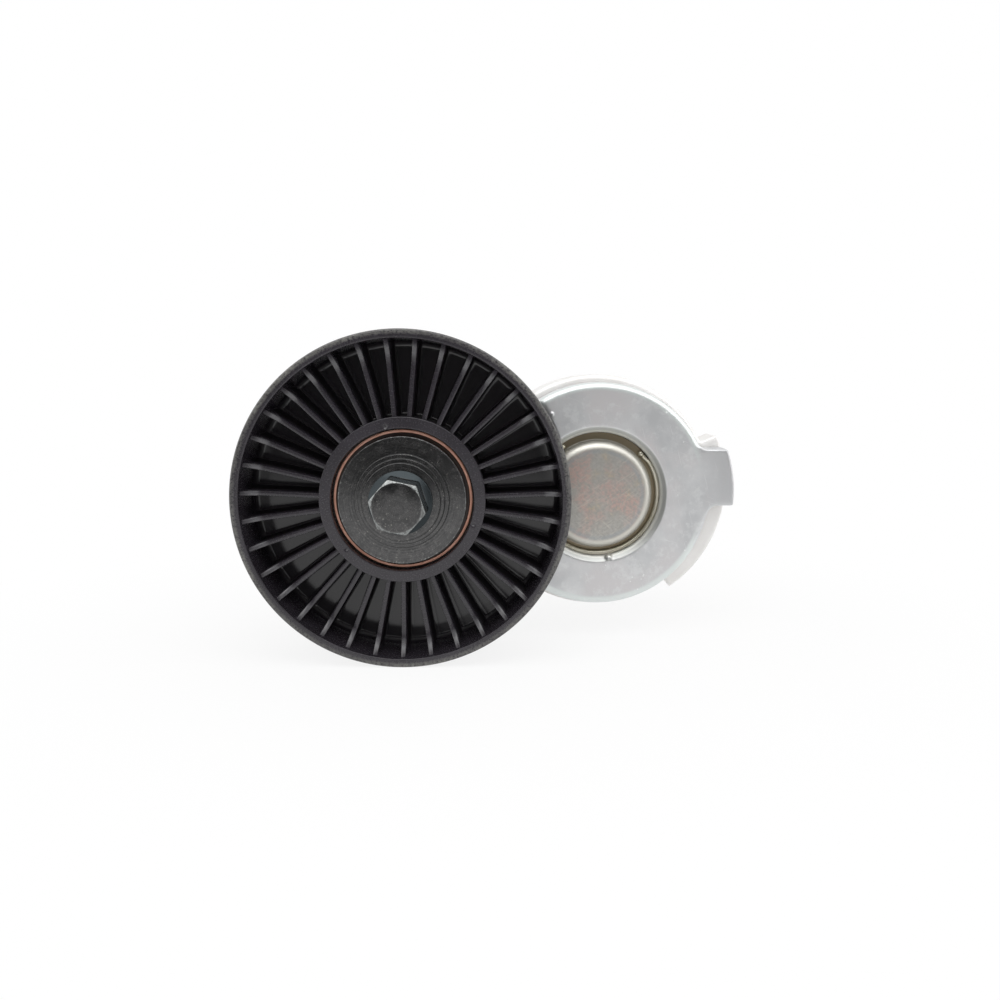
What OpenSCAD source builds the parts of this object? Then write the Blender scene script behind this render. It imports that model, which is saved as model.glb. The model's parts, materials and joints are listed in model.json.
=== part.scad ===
// Automatic belt tensioner: a ribbed idler pulley on a spring loaded arm.
// Every piece is drawn with z = 0 on the mounting face and +z towards the viewer,
// with the pivot axis at x = y = 0, and placed() then turns it so that +Z is up.

/* [Pulley] */
// Outside diameter of the belt surface
pulley_d = 90; // [84:1:104]
// Width of the rim along its axis
pulley_w = 26; // [24:0.5:34]
// Thickness of the rim at its front edge
rim_t = 2.4; // [1.6:0.1:3.2]
// Extra thickness of the rim near the web
rim_step = 1.4; // [0.6:0.1:2.4]
// Height of that thicker part above the web
rim_step_h = 7; // [4:0.5:10]
// Rounding of the rim's outer edges
rim_round = 1.2; // [0.6:0.1:1.4]
// Depth of the front recess, from the rim to the web
recess_depth = 18.5; // [14:0.5:20]
// Thickness of the web
web_t = 3; // [2:0.2:4]
// Number of radial ribs
rib_count = 35; // [20:1:40]
// Thickness of a rib
rib_t = 1.3; // [0.9:0.1:1.8]
// Drop from the rim's front edge to the ribs' outer ends
rib_drop = 2; // [1:0.2:4]
// Drop from the hub's front face to the ribs' inner ends
rib_dip = 0.3; // [0.1:0.1:2]
// Rounding at the outer end of a rib
rib_round = 3; // [1:0.5:5]
// Gap between the rim and the outer end of a rib
rib_end_gap = 0.7; // [0.5:0.1:3]
// Angle of the first rib
rib_phase = -8; // [-20:1:20]
// Wall of the hub round the bearing
hub_wall = 2.3; // [1.5:0.1:5]
// Drop from the rim's front edge to the hub's front face
hub_drop = 4; // [1:0.1:6]
// Number of moulding dimples on the hub
dimple_count = 3; // [2:1:6]
// Angle of the first dimple
dimple_phase = 100; // [0:5:120]
// Diameter of a dimple
dimple_d = 1.8; // [1:0.1:2]
// Depth of a dimple
dimple_h = 0.3; // [0.2:0.1:0.6]

/* [Bearing] */
// Outside diameter of the bearing
bearing_od = 40; // [39:0.5:42]
// Bore of the bearing
bearing_bore = 17; // [15:0.5:18]
// Width of the bearing
bearing_w = 12; // [11:0.5:13]
// Gap between the two rings beside their races
ring_gap = 4.2; // [3.6:0.1:5]
// Diameter of a ball
ball_d = 6.6; // [6:0.1:7]
// Number of balls
ball_count = 8; // [6:1:9]
// Clearance between a ball and its races
ball_clear = 0.12; // [0.05:0.01:0.2]
// Width of the cage between the rings
cage_w = 2.6; // [2:0.1:3]
// Height of the cage's fingers behind the balls' middle
cage_finger = 1.2; // [0.8:0.1:2]
// Thickness of the cage's back in front of the balls
cage_back = 1.3; // [0.8:0.1:1.8]
// Depth of the bearing behind the hub's front face
bearing_depth = 3.8; // [2.4:0.1:5]
// Thickness of the seals
seal_t = 0.6; // [0.4:0.1:0.8]
// Width of the outer ring's face left outside the front seal
seal_inset = 1.2; // [0.6:0.1:1.6]
// Width of the front seal's bead
seal_bead_w = 1; // [0.3:0.05:1.2]
// Height of that bead above the seal
seal_bead_h = 0.35; // [0.2:0.05:0.6]
// Width of the front seal's lip over the inner ring
seal_lip_w = 0.6; // [0.3:0.1:1]

/* [Bolt and shields] */
// Thread diameter of the pulley bolt
bolt_d = 8; // [6:0.5:12]
// Width of the bolt head across its flats
bolt_af = 13; // [12:0.5:15]
// Height of the bolt's head with its flange
bolt_head_h = 10.4; // [8:0.2:12]
// Width of the chamfer at the middle of the hexagon's flats
bolt_crown = 0.2; // [0.1:0.1:1.4]
// Diameter of the bolt's flange
bolt_flange_d = 17; // [16:0.2:20]
// Thickness of the flange at its edge
bolt_flange_t = 1.2; // [0.6:0.1:2]
// Slope of the flange's upper face, in degrees
bolt_flange_slope = 25; // [15:1:30]
// Angle of one corner of the hexagon
bolt_turn = -12; // [-30:1:30]
// Chamfer of the bolt's tip
bolt_lead = 1; // [0.5:0.1:2]
// Depth of the bolt's tip inside the arm's rear face
bolt_inset = 2; // [0.5:0.1:4]
// Width of the dark gap between the front seal's bead and the dust shields
shield_inset = 0.65; // [0.5:0.05:3]
// Chamfer of the front shield's edge
shield_edge = 0.4; // [0.2:0.1:0.8]
// Thickness of the shields' discs
shield_t = 1.6; // [1:0.1:2]
// Height of the front shield's edge above the hub's front face
shield_proud = 0.4; // [0.2:0.1:1.6]
// Height of the front shield's middle above its edge
shield_rise = 3.1; // [1:0.1:4]
// Number of turned steps up to that middle
step_count = 3; // [2:1:4]
// Width of a turned step
step_w = 1.1; // [0.8:0.1:1.4]
// Width of the land between the bolt's flange and the first step
step_land = 1.85; // [1:0.05:2.2]
// Length of the rear shield along its axis
rear_shield_h = 2.6; // [2:0.1:4]

/* [Arm] */
// Distance from the pivot axis to the pulley axis
arm_reach = 55.5; // [52:0.5:70]
// Angle of the arm, counterclockwise from the right
arm_angle = 178.2; // [170:0.2:190]
// Outside diameter of the arm's ring
ring_d = 66; // [64:0.5:69]
// Height of the arm's ring along the pivot axis
ring_h = 9.1; // [8.5:0.1:12]
// Rounding of the ring's outer front edge
ring_round = 1.8; // [0.8:0.1:2.4]
// Thickness of the ring's skirt
skirt_t = 3.4; // [2:0.1:3.6]
// Thickness of the ring's face
ring_face_t = 4.5; // [3.5:0.1:5]
// Distance from the ring's face to the rear of the pulley
pulley_gap = 1.5; // [1:0.1:4]
// Depth of the relief under the pulley
relief_h = 1; // [0.4:0.1:1.5]
// Clearance of that relief round the pulley
relief_clear = 1.2; // [0.5:0.1:3]
// Height of the neck between ring and pulley boss
neck_h = 7; // [5:0.2:7.5]
// Width of the neck beside the ring
neck_root_w = 50; // [40:1:56]
// Width of the neck at the pulley boss
neck_tip_w = 29; // [28.5:0.5:34]
// Depth of the pocket behind the neck
neck_pocket = 3.5; // [1:0.1:4]
// Width of the walls round that pocket
neck_wall = 4; // [3:0.5:6]
// Diameter of the pulley boss where it carries the rear shield
boss_tip_d = 22; // [20:0.5:24]
// Diameter of the pulley boss where it leaves the neck
boss_root_d = 27; // [24:0.5:28]
// Reach of the tab from the pivot axis
tab_r = 40.2; // [38:0.2:44]
// Width of the tab
tab_w = 16.8; // [10:0.2:22]
// Height of the tab's middle above the pivot axis
tab_y = 5.1; // [0:0.1:8]
// Rounding between the tab and the ring
tab_fillet = 3; // [1:0.5:4]

/* [Pivot] */
// Diameter of the pivot shaft
shaft_d = 16; // [14:0.5:18]
// Diameter of the hole that the mounting thread is cut in
mount_drill_d = 8.5; // [6.5:0.1:9]
// Depth of the mounting thread
mount_thread_l = 22; // [15:1:25]
// Thickness of the pivot bushing's wall
bushing_t = 1.55; // [1:0.05:1.8]
// Wall of the arm's hub round the bushing
arm_hub_t = 3.9; // [3:0.1:4]
// Thickness of the thrust washers
washer_t = 1.2; // [0.8:0.1:1.5]
// Clearance between the retaining plate and the cap round it
plate_gap = 1.5; // [1:0.1:4]
// Thickness of the retaining plate
plate_t = 1.5; // [1:0.1:1.6]
// Diameter of the shaft's riveted end
tenon_d = 11; // [8:0.5:12]
// Diameter of the rivet head
rivet_d = 15; // [13:0.5:16]
// Height of the rivet head
rivet_h = 0.9; // [0.6:0.1:1.1]

/* [Cap] */
// Diameter of the arm's bore round the cap
cap_bore_d = 36.8; // [36:0.2:38]
// Clearance between the rivet head and the cap over it
cap_clear = 0.45; // [0.2:0.05:1]
// Wall of the arm round that bore
cap_bore_wall = 1.6; // [1.2:0.1:2]
// Width of the bevel at the bore's mouth
cap_bevel = 1.7; // [0.5:0.1:1.9]
// Diameter of the stake that locks the retaining ring in
stake_d = 2.2; // [1:0.1:2.6]
// Angle of the stake
stake_angle = -80; // [-100:1:-60]
// Width of the cap's flange under the retaining ring
cap_flange_w = 2.4; // [1.8:0.1:4]
// Thickness of the cap's sheet
cap_t = 1; // [0.8:0.1:1.1]
// Rounding of the cap's shoulder
cap_round = 2.1; // [1.2:0.1:2.6]
// Thickness of the retaining ring's wire
clip_wire_d = 1.5; // [1:0.1:1.6]
// Depth of the clip's groove in the bore's wall
clip_seat = 0.35; // [0.2:0.05:0.6]
// Angle of the clip's first end
clip_start = 127; // [100:1:150]
// Angle that the clip's wire covers
clip_arc = 276; // [240:1:320]
// Diameter of the beads at the clip's ends
clip_bead_d = 1.8; // [1.7:0.1:1.9]

/* [Base] */
// Outside diameter of the spring case
base_d = 70.6; // [70:0.2:76]
// Height of the spring case
base_h = 24.4; // [24:0.2:30]
// Wall of the spring case
base_wall = 3.3; // [2.4:0.1:3.5]
// Thickness of the case's floor
base_floor = 6; // [5:0.2:7]
// Rounding of the case's front edge
base_chamfer = 0.8; // [0.4:0.1:1.2]
// Reach of the ear's arc beyond the case's radius
ear_reach = 3.2; // [1.5:0.1:6]
// Distance from the pivot axis to the middle of the ear's arc, to the right
ear_x = 1.6; // [0:0.1:3]
// Height of the middle of the ear's arc above the pivot axis
ear_y = 1.4; // [0:0.1:3]
// Height of the ear along the pivot axis
ear_h = 12.4; // [8:0.2:18]
// Angle of the ear's lower end
ear_start = -55; // [-60:1:-40]
// Angle that the ear covers
ear_arc = 79; // [60:1:100]
// Height of the hub on the case's floor
base_hub_h = 2; // [1.5:0.1:3]
// Number of pockets in the rear face
pocket_count = 6; // [4:1:8]
// Depth of those pockets
pocket_h = 3; // [1:0.2:3.5]
// Width of the ribs between the pockets
pocket_rib = 4; // [3:0.5:6]
// Width of the rear rim outside the pockets
rear_rim_w = 5; // [4:0.5:7]
// Wall of the rear hub inside the pockets
rear_hub_w = 7; // [5:0.5:9]
// Width of the land round the pin
pin_land = 2.5; // [1.5:0.5:4]
// Diameter of the locating pin
pin_d = 8; // [5:0.5:9]
// Length of the pin behind the mounting face
pin_out = 7; // [4:0.5:12]
// Diameter of the pin's thicker shank in the case
pin_shank_d = 9; // [9:0.5:11]
// Depth of the pin's shank in the case
pin_in = 4.5; // [3:0.1:4.8]
// Chamfer of the pin's tip
pin_lead = 0.8; // [0.4:0.1:1.5]
// Distance from the pivot axis to the pin
pin_r = 22; // [21:0.5:24]
// Angle of the pin
pin_angle = 210; // [180:5:240]

/* [Spring and damper] */
// Thickness of the spring's wire
wire_d = 4.4; // [3:0.1:4.6]
// Least gap between the turns of the spring
coil_gap = 0.5; // [0.4:0.1:2]
// Thickness of the spring's seat
seat_t = 1.5; // [1:0.1:2]
// Width of the stop lug, in degrees
lug_arc = 40; // [20:1:60]
// Travel of the arm from stop to stop, in degrees
arm_travel = 50; // [30:1:70]
// Angle of the middle of the lug, at rest
lug_angle = 180; // [150:5:210]
// Height of the stops
stop_h = 2.7; // [2:0.1:3]
// Width of the stops across their radius
stop_w = 4.1; // [2:0.1:4.5]
// Angle that the lug keeps from its stops, in degrees
stop_slack = 1.5; // [1:0.1:3]
// Angle that the damper shoe covers
shoe_arc = 200; // [120:5:240]
// Angle of the damper shoe's first end
shoe_start = 100; // [60:5:140]
// Thickness of the damper shoe
shoe_t = 3.2; // [2:0.1:5]
// Thickness of the shoe's tongue inside the arm's ring
tongue_t = 2.1; // [1.2:0.1:3]
// Thickness of the shelf between the shoe and its tongue
shelf_t = 2; // [1:0.1:4]
// Thickness of the friction lining
lining_t = 0.9; // [0.6:0.1:1.2]
// Height of the damper's working part
shoe_h = 14; // [8:0.5:14]

/* [Clearances] */
// Radial clearance of a turning fit
run_gap = 0.05; // [0.02:0.01:0.09]
// Radial clearance of a seated piece
seat_gap = 0.02; // [0.01:0.01:0.04]
// Clearance between faces that slide past each other
slide_gap = 0.15; // [0.1:0.05:0.3]
// Clearance between pieces that pass each other
pass_gap = 0.5; // [0.3:0.1:0.8]
// Clearance between the arm's hub and the stops round it
stop_gap = 0.3; // [0.2:0.05:0.5]
// Clearance between the rear shield and the pulley's hub
shield_gap = 1.2; // [0.8:0.1:1.4]
// Clearance between the front seal and the lip of the hub
seal_gap = 0.4; // [0.1:0.05:0.6]

/* [Hidden] */
$fn = 96;

// Cuts reach this far past the faces that they open
over = 1;
// Ribs reach this far into the walls that they grow from
sink = 0.4;

// Heights above the mounting face, from the case to the arm
hub_top_z = base_floor + base_hub_h;
arm_foot_z = hub_top_z + washer_t + slide_gap;
arm_z = base_h + pass_gap;
face_z = arm_z + ring_h;
roof_z = face_z - ring_face_t;
rivet_top_z = face_z - cap_t - cap_clear;
plate_top_z = rivet_top_z - rivet_h;
plate_z = plate_top_z - plate_t;
cap_floor_z = plate_z - washer_t - slide_gap;

// Heights above the mounting face, from the arm to the bolt head
pulley_z = face_z + pulley_gap;
pulley_front_z = pulley_z + pulley_w;
web_top_z = pulley_front_z - recess_depth;
hub_front_z = pulley_front_z - hub_drop;
bearing_front_z = hub_front_z - bearing_depth;
bearing_z = bearing_front_z - bearing_w;
bearing_mid_z = bearing_z + bearing_w / 2;
shield_front_z = hub_front_z + shield_proud;
shield_top_z = shield_front_z + shield_rise;
boss_top_z = bearing_z - rear_shield_h;

// Heights of the damper shoe
shoe_top_z = base_h - slide_gap;
shoe_z = shoe_top_z - shoe_h;

// Place of the pulley axis
pulley_x = arm_reach * cos(arm_angle);
pulley_y = arm_reach * sin(arm_angle);

// Radii on the pivot axis
base_r = base_d / 2;
case_r = base_r - base_wall;
ring_r = ring_d / 2;
skirt_r = ring_r - skirt_t;
shaft_r = shaft_d / 2;
bushing_r = shaft_r + run_gap + bushing_t;
arm_hub_r = bushing_r + seat_gap + arm_hub_t;
cap_bore_r = cap_bore_d / 2;
flange_r = cap_bore_r - seat_gap;
cap_r = flange_r - cap_flange_w;
plate_r = cap_r - cap_t - plate_gap;
well_r = cap_bore_r + cap_bore_wall;
clip_r = cap_bore_r - clip_wire_d / 2 + clip_seat;
clip_groove_r = clip_r + clip_wire_d / 2 + seat_gap;
clip_z = cap_floor_z + cap_t + clip_wire_d / 2 + seat_gap;
stop_in_r = arm_hub_r + stop_gap;
stop_out_r = stop_in_r + stop_w;
spring_r = well_r + pass_gap + wire_d / 2;
ear_r = base_r + ear_reach;
lining_r = case_r - slide_gap;
shoe_r = lining_r - lining_t - seat_gap;
room_r = spring_r + wire_d / 2 + pass_gap;
shoe_in_r = max(shoe_r - shoe_t, room_r);
tongue_r = min(skirt_r, shoe_r) - slide_gap;
tongue_in_r = max(tongue_r - tongue_t, room_r);

// Radii on the pulley axis
pulley_r = pulley_d / 2;
rim_r = pulley_r - rim_t;
bearing_r = bearing_od / 2;
hub_r = bearing_r + seat_gap + hub_wall;
bore_r = bearing_bore / 2;
bolt_r = bolt_d / 2;
hole_r = bolt_r + slide_gap;
ball_r = ball_d / 2;
pitch_r = (bearing_r + bore_r) / 2;
inner_ring_r = pitch_r - ring_gap / 2;
outer_ring_r = pitch_r + ring_gap / 2;
race_r = ball_r + ball_clear;
seal_r = bearing_r - seal_inset;
lip_r = seal_r + seal_gap;
seal_in_r = inner_ring_r - seal_lip_w;
shield_boss_r = seal_in_r - pass_gap;
bead_in_r = seal_r - seal_bead_w;
shield_r = bead_in_r - shield_inset;
rear_lip_r = shield_r + shield_gap;

// Turns the drawing so that its y axis points up
module placed() {
    rotate([90, 0, 0])
        children();
}

// Moves a piece to the pulley axis
module at_pulley() {
    translate([pulley_x, pulley_y, 0])
        children();
}

// Round piece with a square section
module ring(r_in, r_out, z, h) {
    rotate_extrude()
        translate([r_in, z])
            square([r_out - r_in, h]);
}

// Part of such a piece, from one angle on
module ring_sector(r_in, r_out, z, h, start, arc) {
    rotate([0, 0, start])
        rotate_extrude(angle = arc)
            translate([r_in, z])
                square([r_out - r_in, h]);
}

// Points of a quarter arc or other arc in a section
function arc_points(x, y, r, from, to, steps = 6) = [
    for (i = [0 : steps])
        let (angle = from + (to - from) * i / steps)
            [x + r * cos(angle), y + r * sin(angle)]
];

// Outline of a bar between the pivot axis and the pulley axis, round at both ends
module bar_outline(root_r, tip_r) {
    lean = asin((root_r - tip_r) / arm_reach);
    up = [cos(arm_angle - 90 + lean), sin(arm_angle - 90 + lean)];
    down = [cos(arm_angle + 90 - lean), sin(arm_angle + 90 - lean)];
    tip = [pulley_x, pulley_y];
    circle(root_r);
    translate(tip)
        circle(tip_r);
    polygon([root_r * up, tip + tip_r * up, tip + tip_r * down, root_r * down]);
}

// Fixed to the engine

module base_housing() {
    pad_r = (stop_in_r + stop_out_r) / 2;
    cup = [
        [0, 0], [base_r, 0], [base_r, base_h - base_chamfer], [base_r - base_chamfer, base_h],
        [case_r, base_h], [case_r, base_floor], [pad_r, base_floor], [pad_r, hub_top_z],
        [0, hub_top_z],
    ];
    color("gainsboro") placed() difference() {
        union() {
            rotate_extrude()
                polygon(cup);
            case_ear();
            stop_collar();
        }
        translate([0, 0, -over])
            cylinder(r = shaft_r + seat_gap, h = hub_top_z + 2 * over);
        for (i = [0 : pocket_count - 1])
            pocket(i * 360 / pocket_count, shaft_r + rear_hub_w, base_r - rear_rim_w);
        pin_place()
            translate([0, 0, -over])
                cylinder(d = pin_shank_d + 2 * seat_gap, h = pin_in + over);
    }
}

// Ear on the case's wall, whose arc lies a little off the pivot axis
module case_ear() {
    low_z = base_h - ear_h;
    difference() {
        translate([ear_x, ear_y, 0])
            ring_sector(case_r / 2, ear_r, low_z, ear_h, ear_start, ear_arc);
        translate([0, 0, low_z - over])
            cylinder(r = base_r - base_wall / 2, h = ear_h + 2 * over);
    }
}

// Collar on the case's floor, open where the arm's lug travels
module stop_collar() {
    open_arc = lug_arc + arm_travel + 2 * stop_slack;
    start = lug_angle + lug_arc / 2 + stop_slack;
    low_z = base_floor - over;
    ring_sector(stop_in_r, stop_out_r, low_z, arm_foot_z + stop_h - low_z, start, 360 - open_arc);
}

// Moves a piece to the locating pin's axis
module pin_place() {
    rotate([0, 0, pin_angle])
        translate([pin_r, 0, 0])
            children();
}

// One pocket in the rear face, with a solid land round the pin
module pocket(angle, r_in, r_out) {
    land_r = pin_d / 2 + pin_land;
    difference() {
        intersection() {
            ring(r_in, r_out, -over, pocket_h + over);
            rotate([0, 0, angle])
                translate([0, 0, -over])
                    linear_extrude(pocket_h + over)
                        pocket_wedge(r_out + over);
        }
        pin_place()
            translate([0, 0, -2 * over])
                cylinder(r = land_r, h = pocket_h + 3 * over);
    }
}

// Wedge between two ribs whose sides run parallel to the ribs
module pocket_wedge(reach) {
    half = 180 / pocket_count;
    corner = pocket_rib / 2 / sin(half);
    polygon([
        [corner, 0],
        [corner + reach * cos(half), reach * sin(half)],
        [corner + 2 * reach, 0],
        [corner + reach * cos(half), -reach * sin(half)],
    ]);
}

module pivot_shaft() {
    color("silver") placed() difference() {
        rotate_extrude()
            polygon([
                [0, 0], [shaft_r, 0], [shaft_r, plate_z], [tenon_d / 2, plate_z],
                [tenon_d / 2, plate_top_z], [rivet_d / 2, plate_top_z],
                [rivet_d / 2 - rivet_h, rivet_top_z], [0, rivet_top_z],
            ]);
        translate([0, 0, -over])
            cylinder(d = mount_drill_d, h = mount_thread_l + over);
    }
}

module locating_pin() {
    color("silver") placed() pin_place()
        rotate_extrude()
            polygon([
                [0, -pin_out], [pin_d / 2 - pin_lead, -pin_out], [pin_d / 2, pin_lead - pin_out],
                [pin_d / 2, 0], [pin_shank_d / 2, 0], [pin_shank_d / 2, pin_in], [0, pin_in],
            ]);
}

module rear_thrust_washer() {
    color("ivory") placed()
        ring(shaft_r + run_gap, arm_hub_r, hub_top_z, washer_t);
}

module front_thrust_washer() {
    color("ivory") placed()
        ring(shaft_r + run_gap, plate_r, plate_z - washer_t, washer_t);
}

module retaining_plate() {
    color("silver") placed()
        ring(tenon_d / 2 + seat_gap, plate_r, plate_z, plate_t);
}

module spring_seat() {
    color("dimgray") placed()
        ring(stop_out_r + pass_gap, room_r, base_floor, seat_t);
}

// Spring wire as one tube of rings along a helix
wire_sides = 8;
turn_steps = 24;
spring_z = base_floor + seat_t + wire_d / 2 + run_gap;
spring_rise = roof_z - run_gap - wire_d / 2 - spring_z;
spring_turns = floor(2 * spring_rise / (wire_d + coil_gap)) / 2;
spring_steps = round(spring_turns * turn_steps);
spring_pitch = spring_rise / spring_turns;
echo(spring_coil_gap = spring_pitch * cos(atan(spring_pitch / (2 * PI * spring_r))) - wire_d);

function wire_point(i, j) =
    let (
        turn = 360 * spring_turns * i / spring_steps,
        lift = atan(spring_pitch / (2 * PI * spring_r)),
        side = 360 * j / wire_sides,
        out = spring_r + wire_d / 2 * cos(side),
        slip = -wire_d / 2 * sin(side) * sin(lift)
    )
    [
        out * cos(turn) - slip * sin(turn),
        out * sin(turn) + slip * cos(turn),
        spring_z + spring_rise * i / spring_steps + wire_d / 2 * sin(side) * cos(lift),
    ];

module torsion_spring() {
    last = spring_steps * wire_sides;
    points = [for (i = [0 : spring_steps], j = [0 : wire_sides - 1]) wire_point(i, j)];
    quads = [for (i = [0 : spring_steps - 1], j = [0 : wire_sides - 1])
        let (a = i * wire_sides, b = a + wire_sides, k = (j + 1) % wire_sides)
            [a + j, b + j, b + k, a + k]];
    sides = [for (q = quads, t = [[q[0], q[1], q[2]], [q[0], q[2], q[3]]]) t];
    start = [for (j = [1 : wire_sides - 2]) [0, j, j + 1]];
    finish = [for (j = [1 : wire_sides - 2]) [last, last + j + 1, last + j]];
    color("slategray") placed()
        polyhedron(points, concat(sides, start, finish));
}

// Swings on the pivot shaft

module tensioner_arm() {
    head = concat(
        [[bushing_r + seat_gap, arm_foot_z], [arm_hub_r, arm_foot_z], [arm_hub_r, arm_z], [well_r, arm_z]],
        [[well_r, roof_z], [skirt_r, roof_z], [skirt_r, arm_z], [ring_r, arm_z]],
        arc_points(ring_r - ring_round, face_z - ring_round, ring_round, 0, 90),
        [[cap_bore_r + cap_bevel, face_z], [cap_bore_r, face_z - cap_bevel]],
        [[cap_bore_r, cap_floor_z], [bushing_r + seat_gap, cap_floor_z]]
    );
    color("lightgray") placed() difference() {
        union() {
            rotate_extrude()
                polygon(head);
            stop_lug();
            arm_tab();
            arm_neck();
            cap_stake();
        }
        clip_groove();
        at_pulley()
            translate([0, 0, face_z - relief_h])
                cylinder(r = pulley_r + relief_clear, h = relief_h + over);
        at_pulley()
            translate([0, 0, arm_z - over])
                cylinder(r = bolt_r + run_gap, h = boss_top_z - arm_z + 2 * over);
    }
    color("lightgray") placed()
        pulley_boss();
}

// Lug near the foot of the arm's hub, which meets the stops in the case
module stop_lug() {
    low_z = arm_foot_z + slide_gap;
    high_z = arm_foot_z + stop_h;
    ring_sector(arm_hub_r - over, stop_out_r, low_z, high_z - low_z, lug_angle - lug_arc / 2, lug_arc);
}

// Groove for the wire that holds the cap
module clip_groove() {
    rotate_extrude()
        translate([clip_r, clip_z])
            circle(r = clip_groove_r - clip_r);
}

// Nub pressed up on the bevel of the cap's bore, a little sunk into it
module cap_stake() {
    depth = sink / 2;
    rotate([0, 0, stake_angle])
        translate([cap_bore_r + cap_bevel / 2 + depth, 0, face_z - cap_bevel / 2 - depth])
            rotate([90, 0, 0])
                sphere(d = stake_d);
}

// Tab that a wrench pushes on, with filleted roots
module arm_tab() {
    low_y = tab_y - tab_w / 2;
    high_y = tab_y + tab_w / 2;
    translate([0, 0, arm_z])
        linear_extrude(ring_h)
            difference() {
                intersection() {
                    circle(tab_r);
                    translate([skirt_r, low_y - tab_fillet])
                        square([tab_r, tab_w + 2 * tab_fillet]);
                }
                tab_corner(low_y, -1);
                tab_corner(high_y, 1);
            }
}

// Cut beside the tab that leaves a round fillet against the ring
module tab_corner(edge_y, side) {
    center_y = edge_y + side * tab_fillet;
    center_x = sqrt(pow(ring_r + tab_fillet, 2) - pow(center_y, 2));
    translate([center_x, center_y])
        circle(tab_fillet);
    translate([center_x, side > 0 ? edge_y : edge_y - 2 * tab_fillet])
        square([tab_r, 2 * tab_fillet]);
}

// Neck from the ring to the pulley boss, hollow from behind
module arm_neck() {
    root_r = neck_root_w / 2;
    tip_r = neck_tip_w / 2;
    join_r = (skirt_r + ring_r) / 2;
    pocket_in_r = ring_r + neck_wall;
    translate([0, 0, arm_z])
        difference() {
            linear_extrude(neck_h)
                bar_outline(root_r, tip_r);
            translate([0, 0, -over])
                cylinder(r = join_r, h = neck_h + 2 * over);
            translate([0, 0, -over])
                linear_extrude(neck_pocket + over)
                    difference() {
                        bar_outline(root_r - neck_wall, tip_r - neck_wall);
                        circle(pocket_in_r);
                        translate([pulley_x, pulley_y])
                            circle(boss_root_d / 2);
                    }
        }
}

// Boss that carries the bearing on its end
module pulley_boss() {
    at_pulley()
        difference() {
            translate([0, 0, arm_z])
                cylinder(r1 = boss_root_d / 2, r2 = boss_tip_d / 2, h = boss_top_z - arm_z);
            translate([0, 0, arm_z - over])
                cylinder(r = bolt_r + run_gap, h = boss_top_z - arm_z + 2 * over);
        }
}

module pivot_bushing() {
    color("ivory") placed()
        ring(shaft_r + run_gap, bushing_r, arm_foot_z, cap_floor_z - arm_foot_z);
}

// The shoe has a wide part in the case, a shelf and a tongue up to the arm
module damper_shoe() {
    shelf_z = shoe_top_z - shelf_t;
    shelf_in_r = min(shoe_in_r, tongue_in_r);
    color("dimgray") placed() union() {
        ring_sector(shoe_in_r, shoe_r, shoe_z, shoe_h, shoe_start, shoe_arc);
        ring_sector(shelf_in_r, shoe_r, shelf_z, shelf_t, shoe_start, shoe_arc);
        ring_sector(tongue_in_r, tongue_r, shelf_z, roof_z - shelf_z, shoe_start, shoe_arc);
    }
}

module friction_lining() {
    color("sienna") placed()
        ring_sector(lining_r - lining_t, lining_r, shoe_z, shoe_h, shoe_start, shoe_arc);
}

module pivot_cap() {
    inner_round = cap_round - cap_t;
    section = concat(
        [[flange_r, cap_floor_z], [flange_r, cap_floor_z + cap_t], [cap_r, cap_floor_z + cap_t]],
        arc_points(cap_r - cap_round, face_z - cap_round, cap_round, 0, 90),
        [[0, face_z], [0, face_z - cap_t]],
        arc_points(cap_r - cap_round, face_z - cap_round, inner_round, 90, 0),
        [[cap_r - cap_t, cap_floor_z]]
    );
    color("darkkhaki") placed()
        rotate_extrude()
            polygon(section);
}

module cap_retaining_ring() {
    color("goldenrod") placed()
        translate([0, 0, clip_z]) {
            rotate([0, 0, clip_start])
                rotate_extrude(angle = clip_arc)
                    translate([clip_r, 0])
                        circle(d = clip_wire_d);
            for (angle = [clip_start, clip_start + clip_arc])
                rotate([0, 0, angle])
                    translate([cap_bore_r - seat_gap - clip_bead_d / 2, 0, (clip_bead_d - clip_wire_d) / 2])
                        rotate([0, 90, 0])
                            sphere(d = clip_bead_d);
        }
}

// Bolt, sleeve, shields and inner ring stand still on the arm's boss

module pulley_bolt() {
    edge_r = bolt_flange_d / 2;
    edge_z = shield_top_z + bolt_flange_t;
    top_z = shield_top_z + bolt_head_h;
    tip_z = arm_z + bolt_inset;
    corner_r = bolt_af / 2 / cos(30);
    crown_r = bolt_af / 2 - bolt_crown;
    crown_out_r = corner_r + over;
    crown_h = (crown_out_r - crown_r) * tan(30);
    color("dimgray") placed() at_pulley() union() {
        rotate_extrude()
            polygon([
                [0, tip_z], [bolt_r - bolt_lead, tip_z], [bolt_r, tip_z + bolt_lead],
                [bolt_r, shield_top_z], [edge_r, shield_top_z], [edge_r, edge_z],
                [0, edge_z + edge_r * tan(bolt_flange_slope)],
            ]);
        intersection() {
            translate([0, 0, edge_z])
                rotate([0, 0, bolt_turn])
                    cylinder(r = corner_r, h = bolt_head_h - bolt_flange_t, $fn = 6);
            rotate_extrude()
                polygon([
                    [0, shield_top_z], [crown_out_r, shield_top_z], [crown_out_r, top_z - crown_h],
                    [crown_r, top_z], [0, top_z],
                ]);
        }
    }
}

module bearing_sleeve() {
    color("silver") placed() at_pulley()
        ring(hole_r, bore_r - seat_gap, bearing_z, bearing_w);
}

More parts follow.
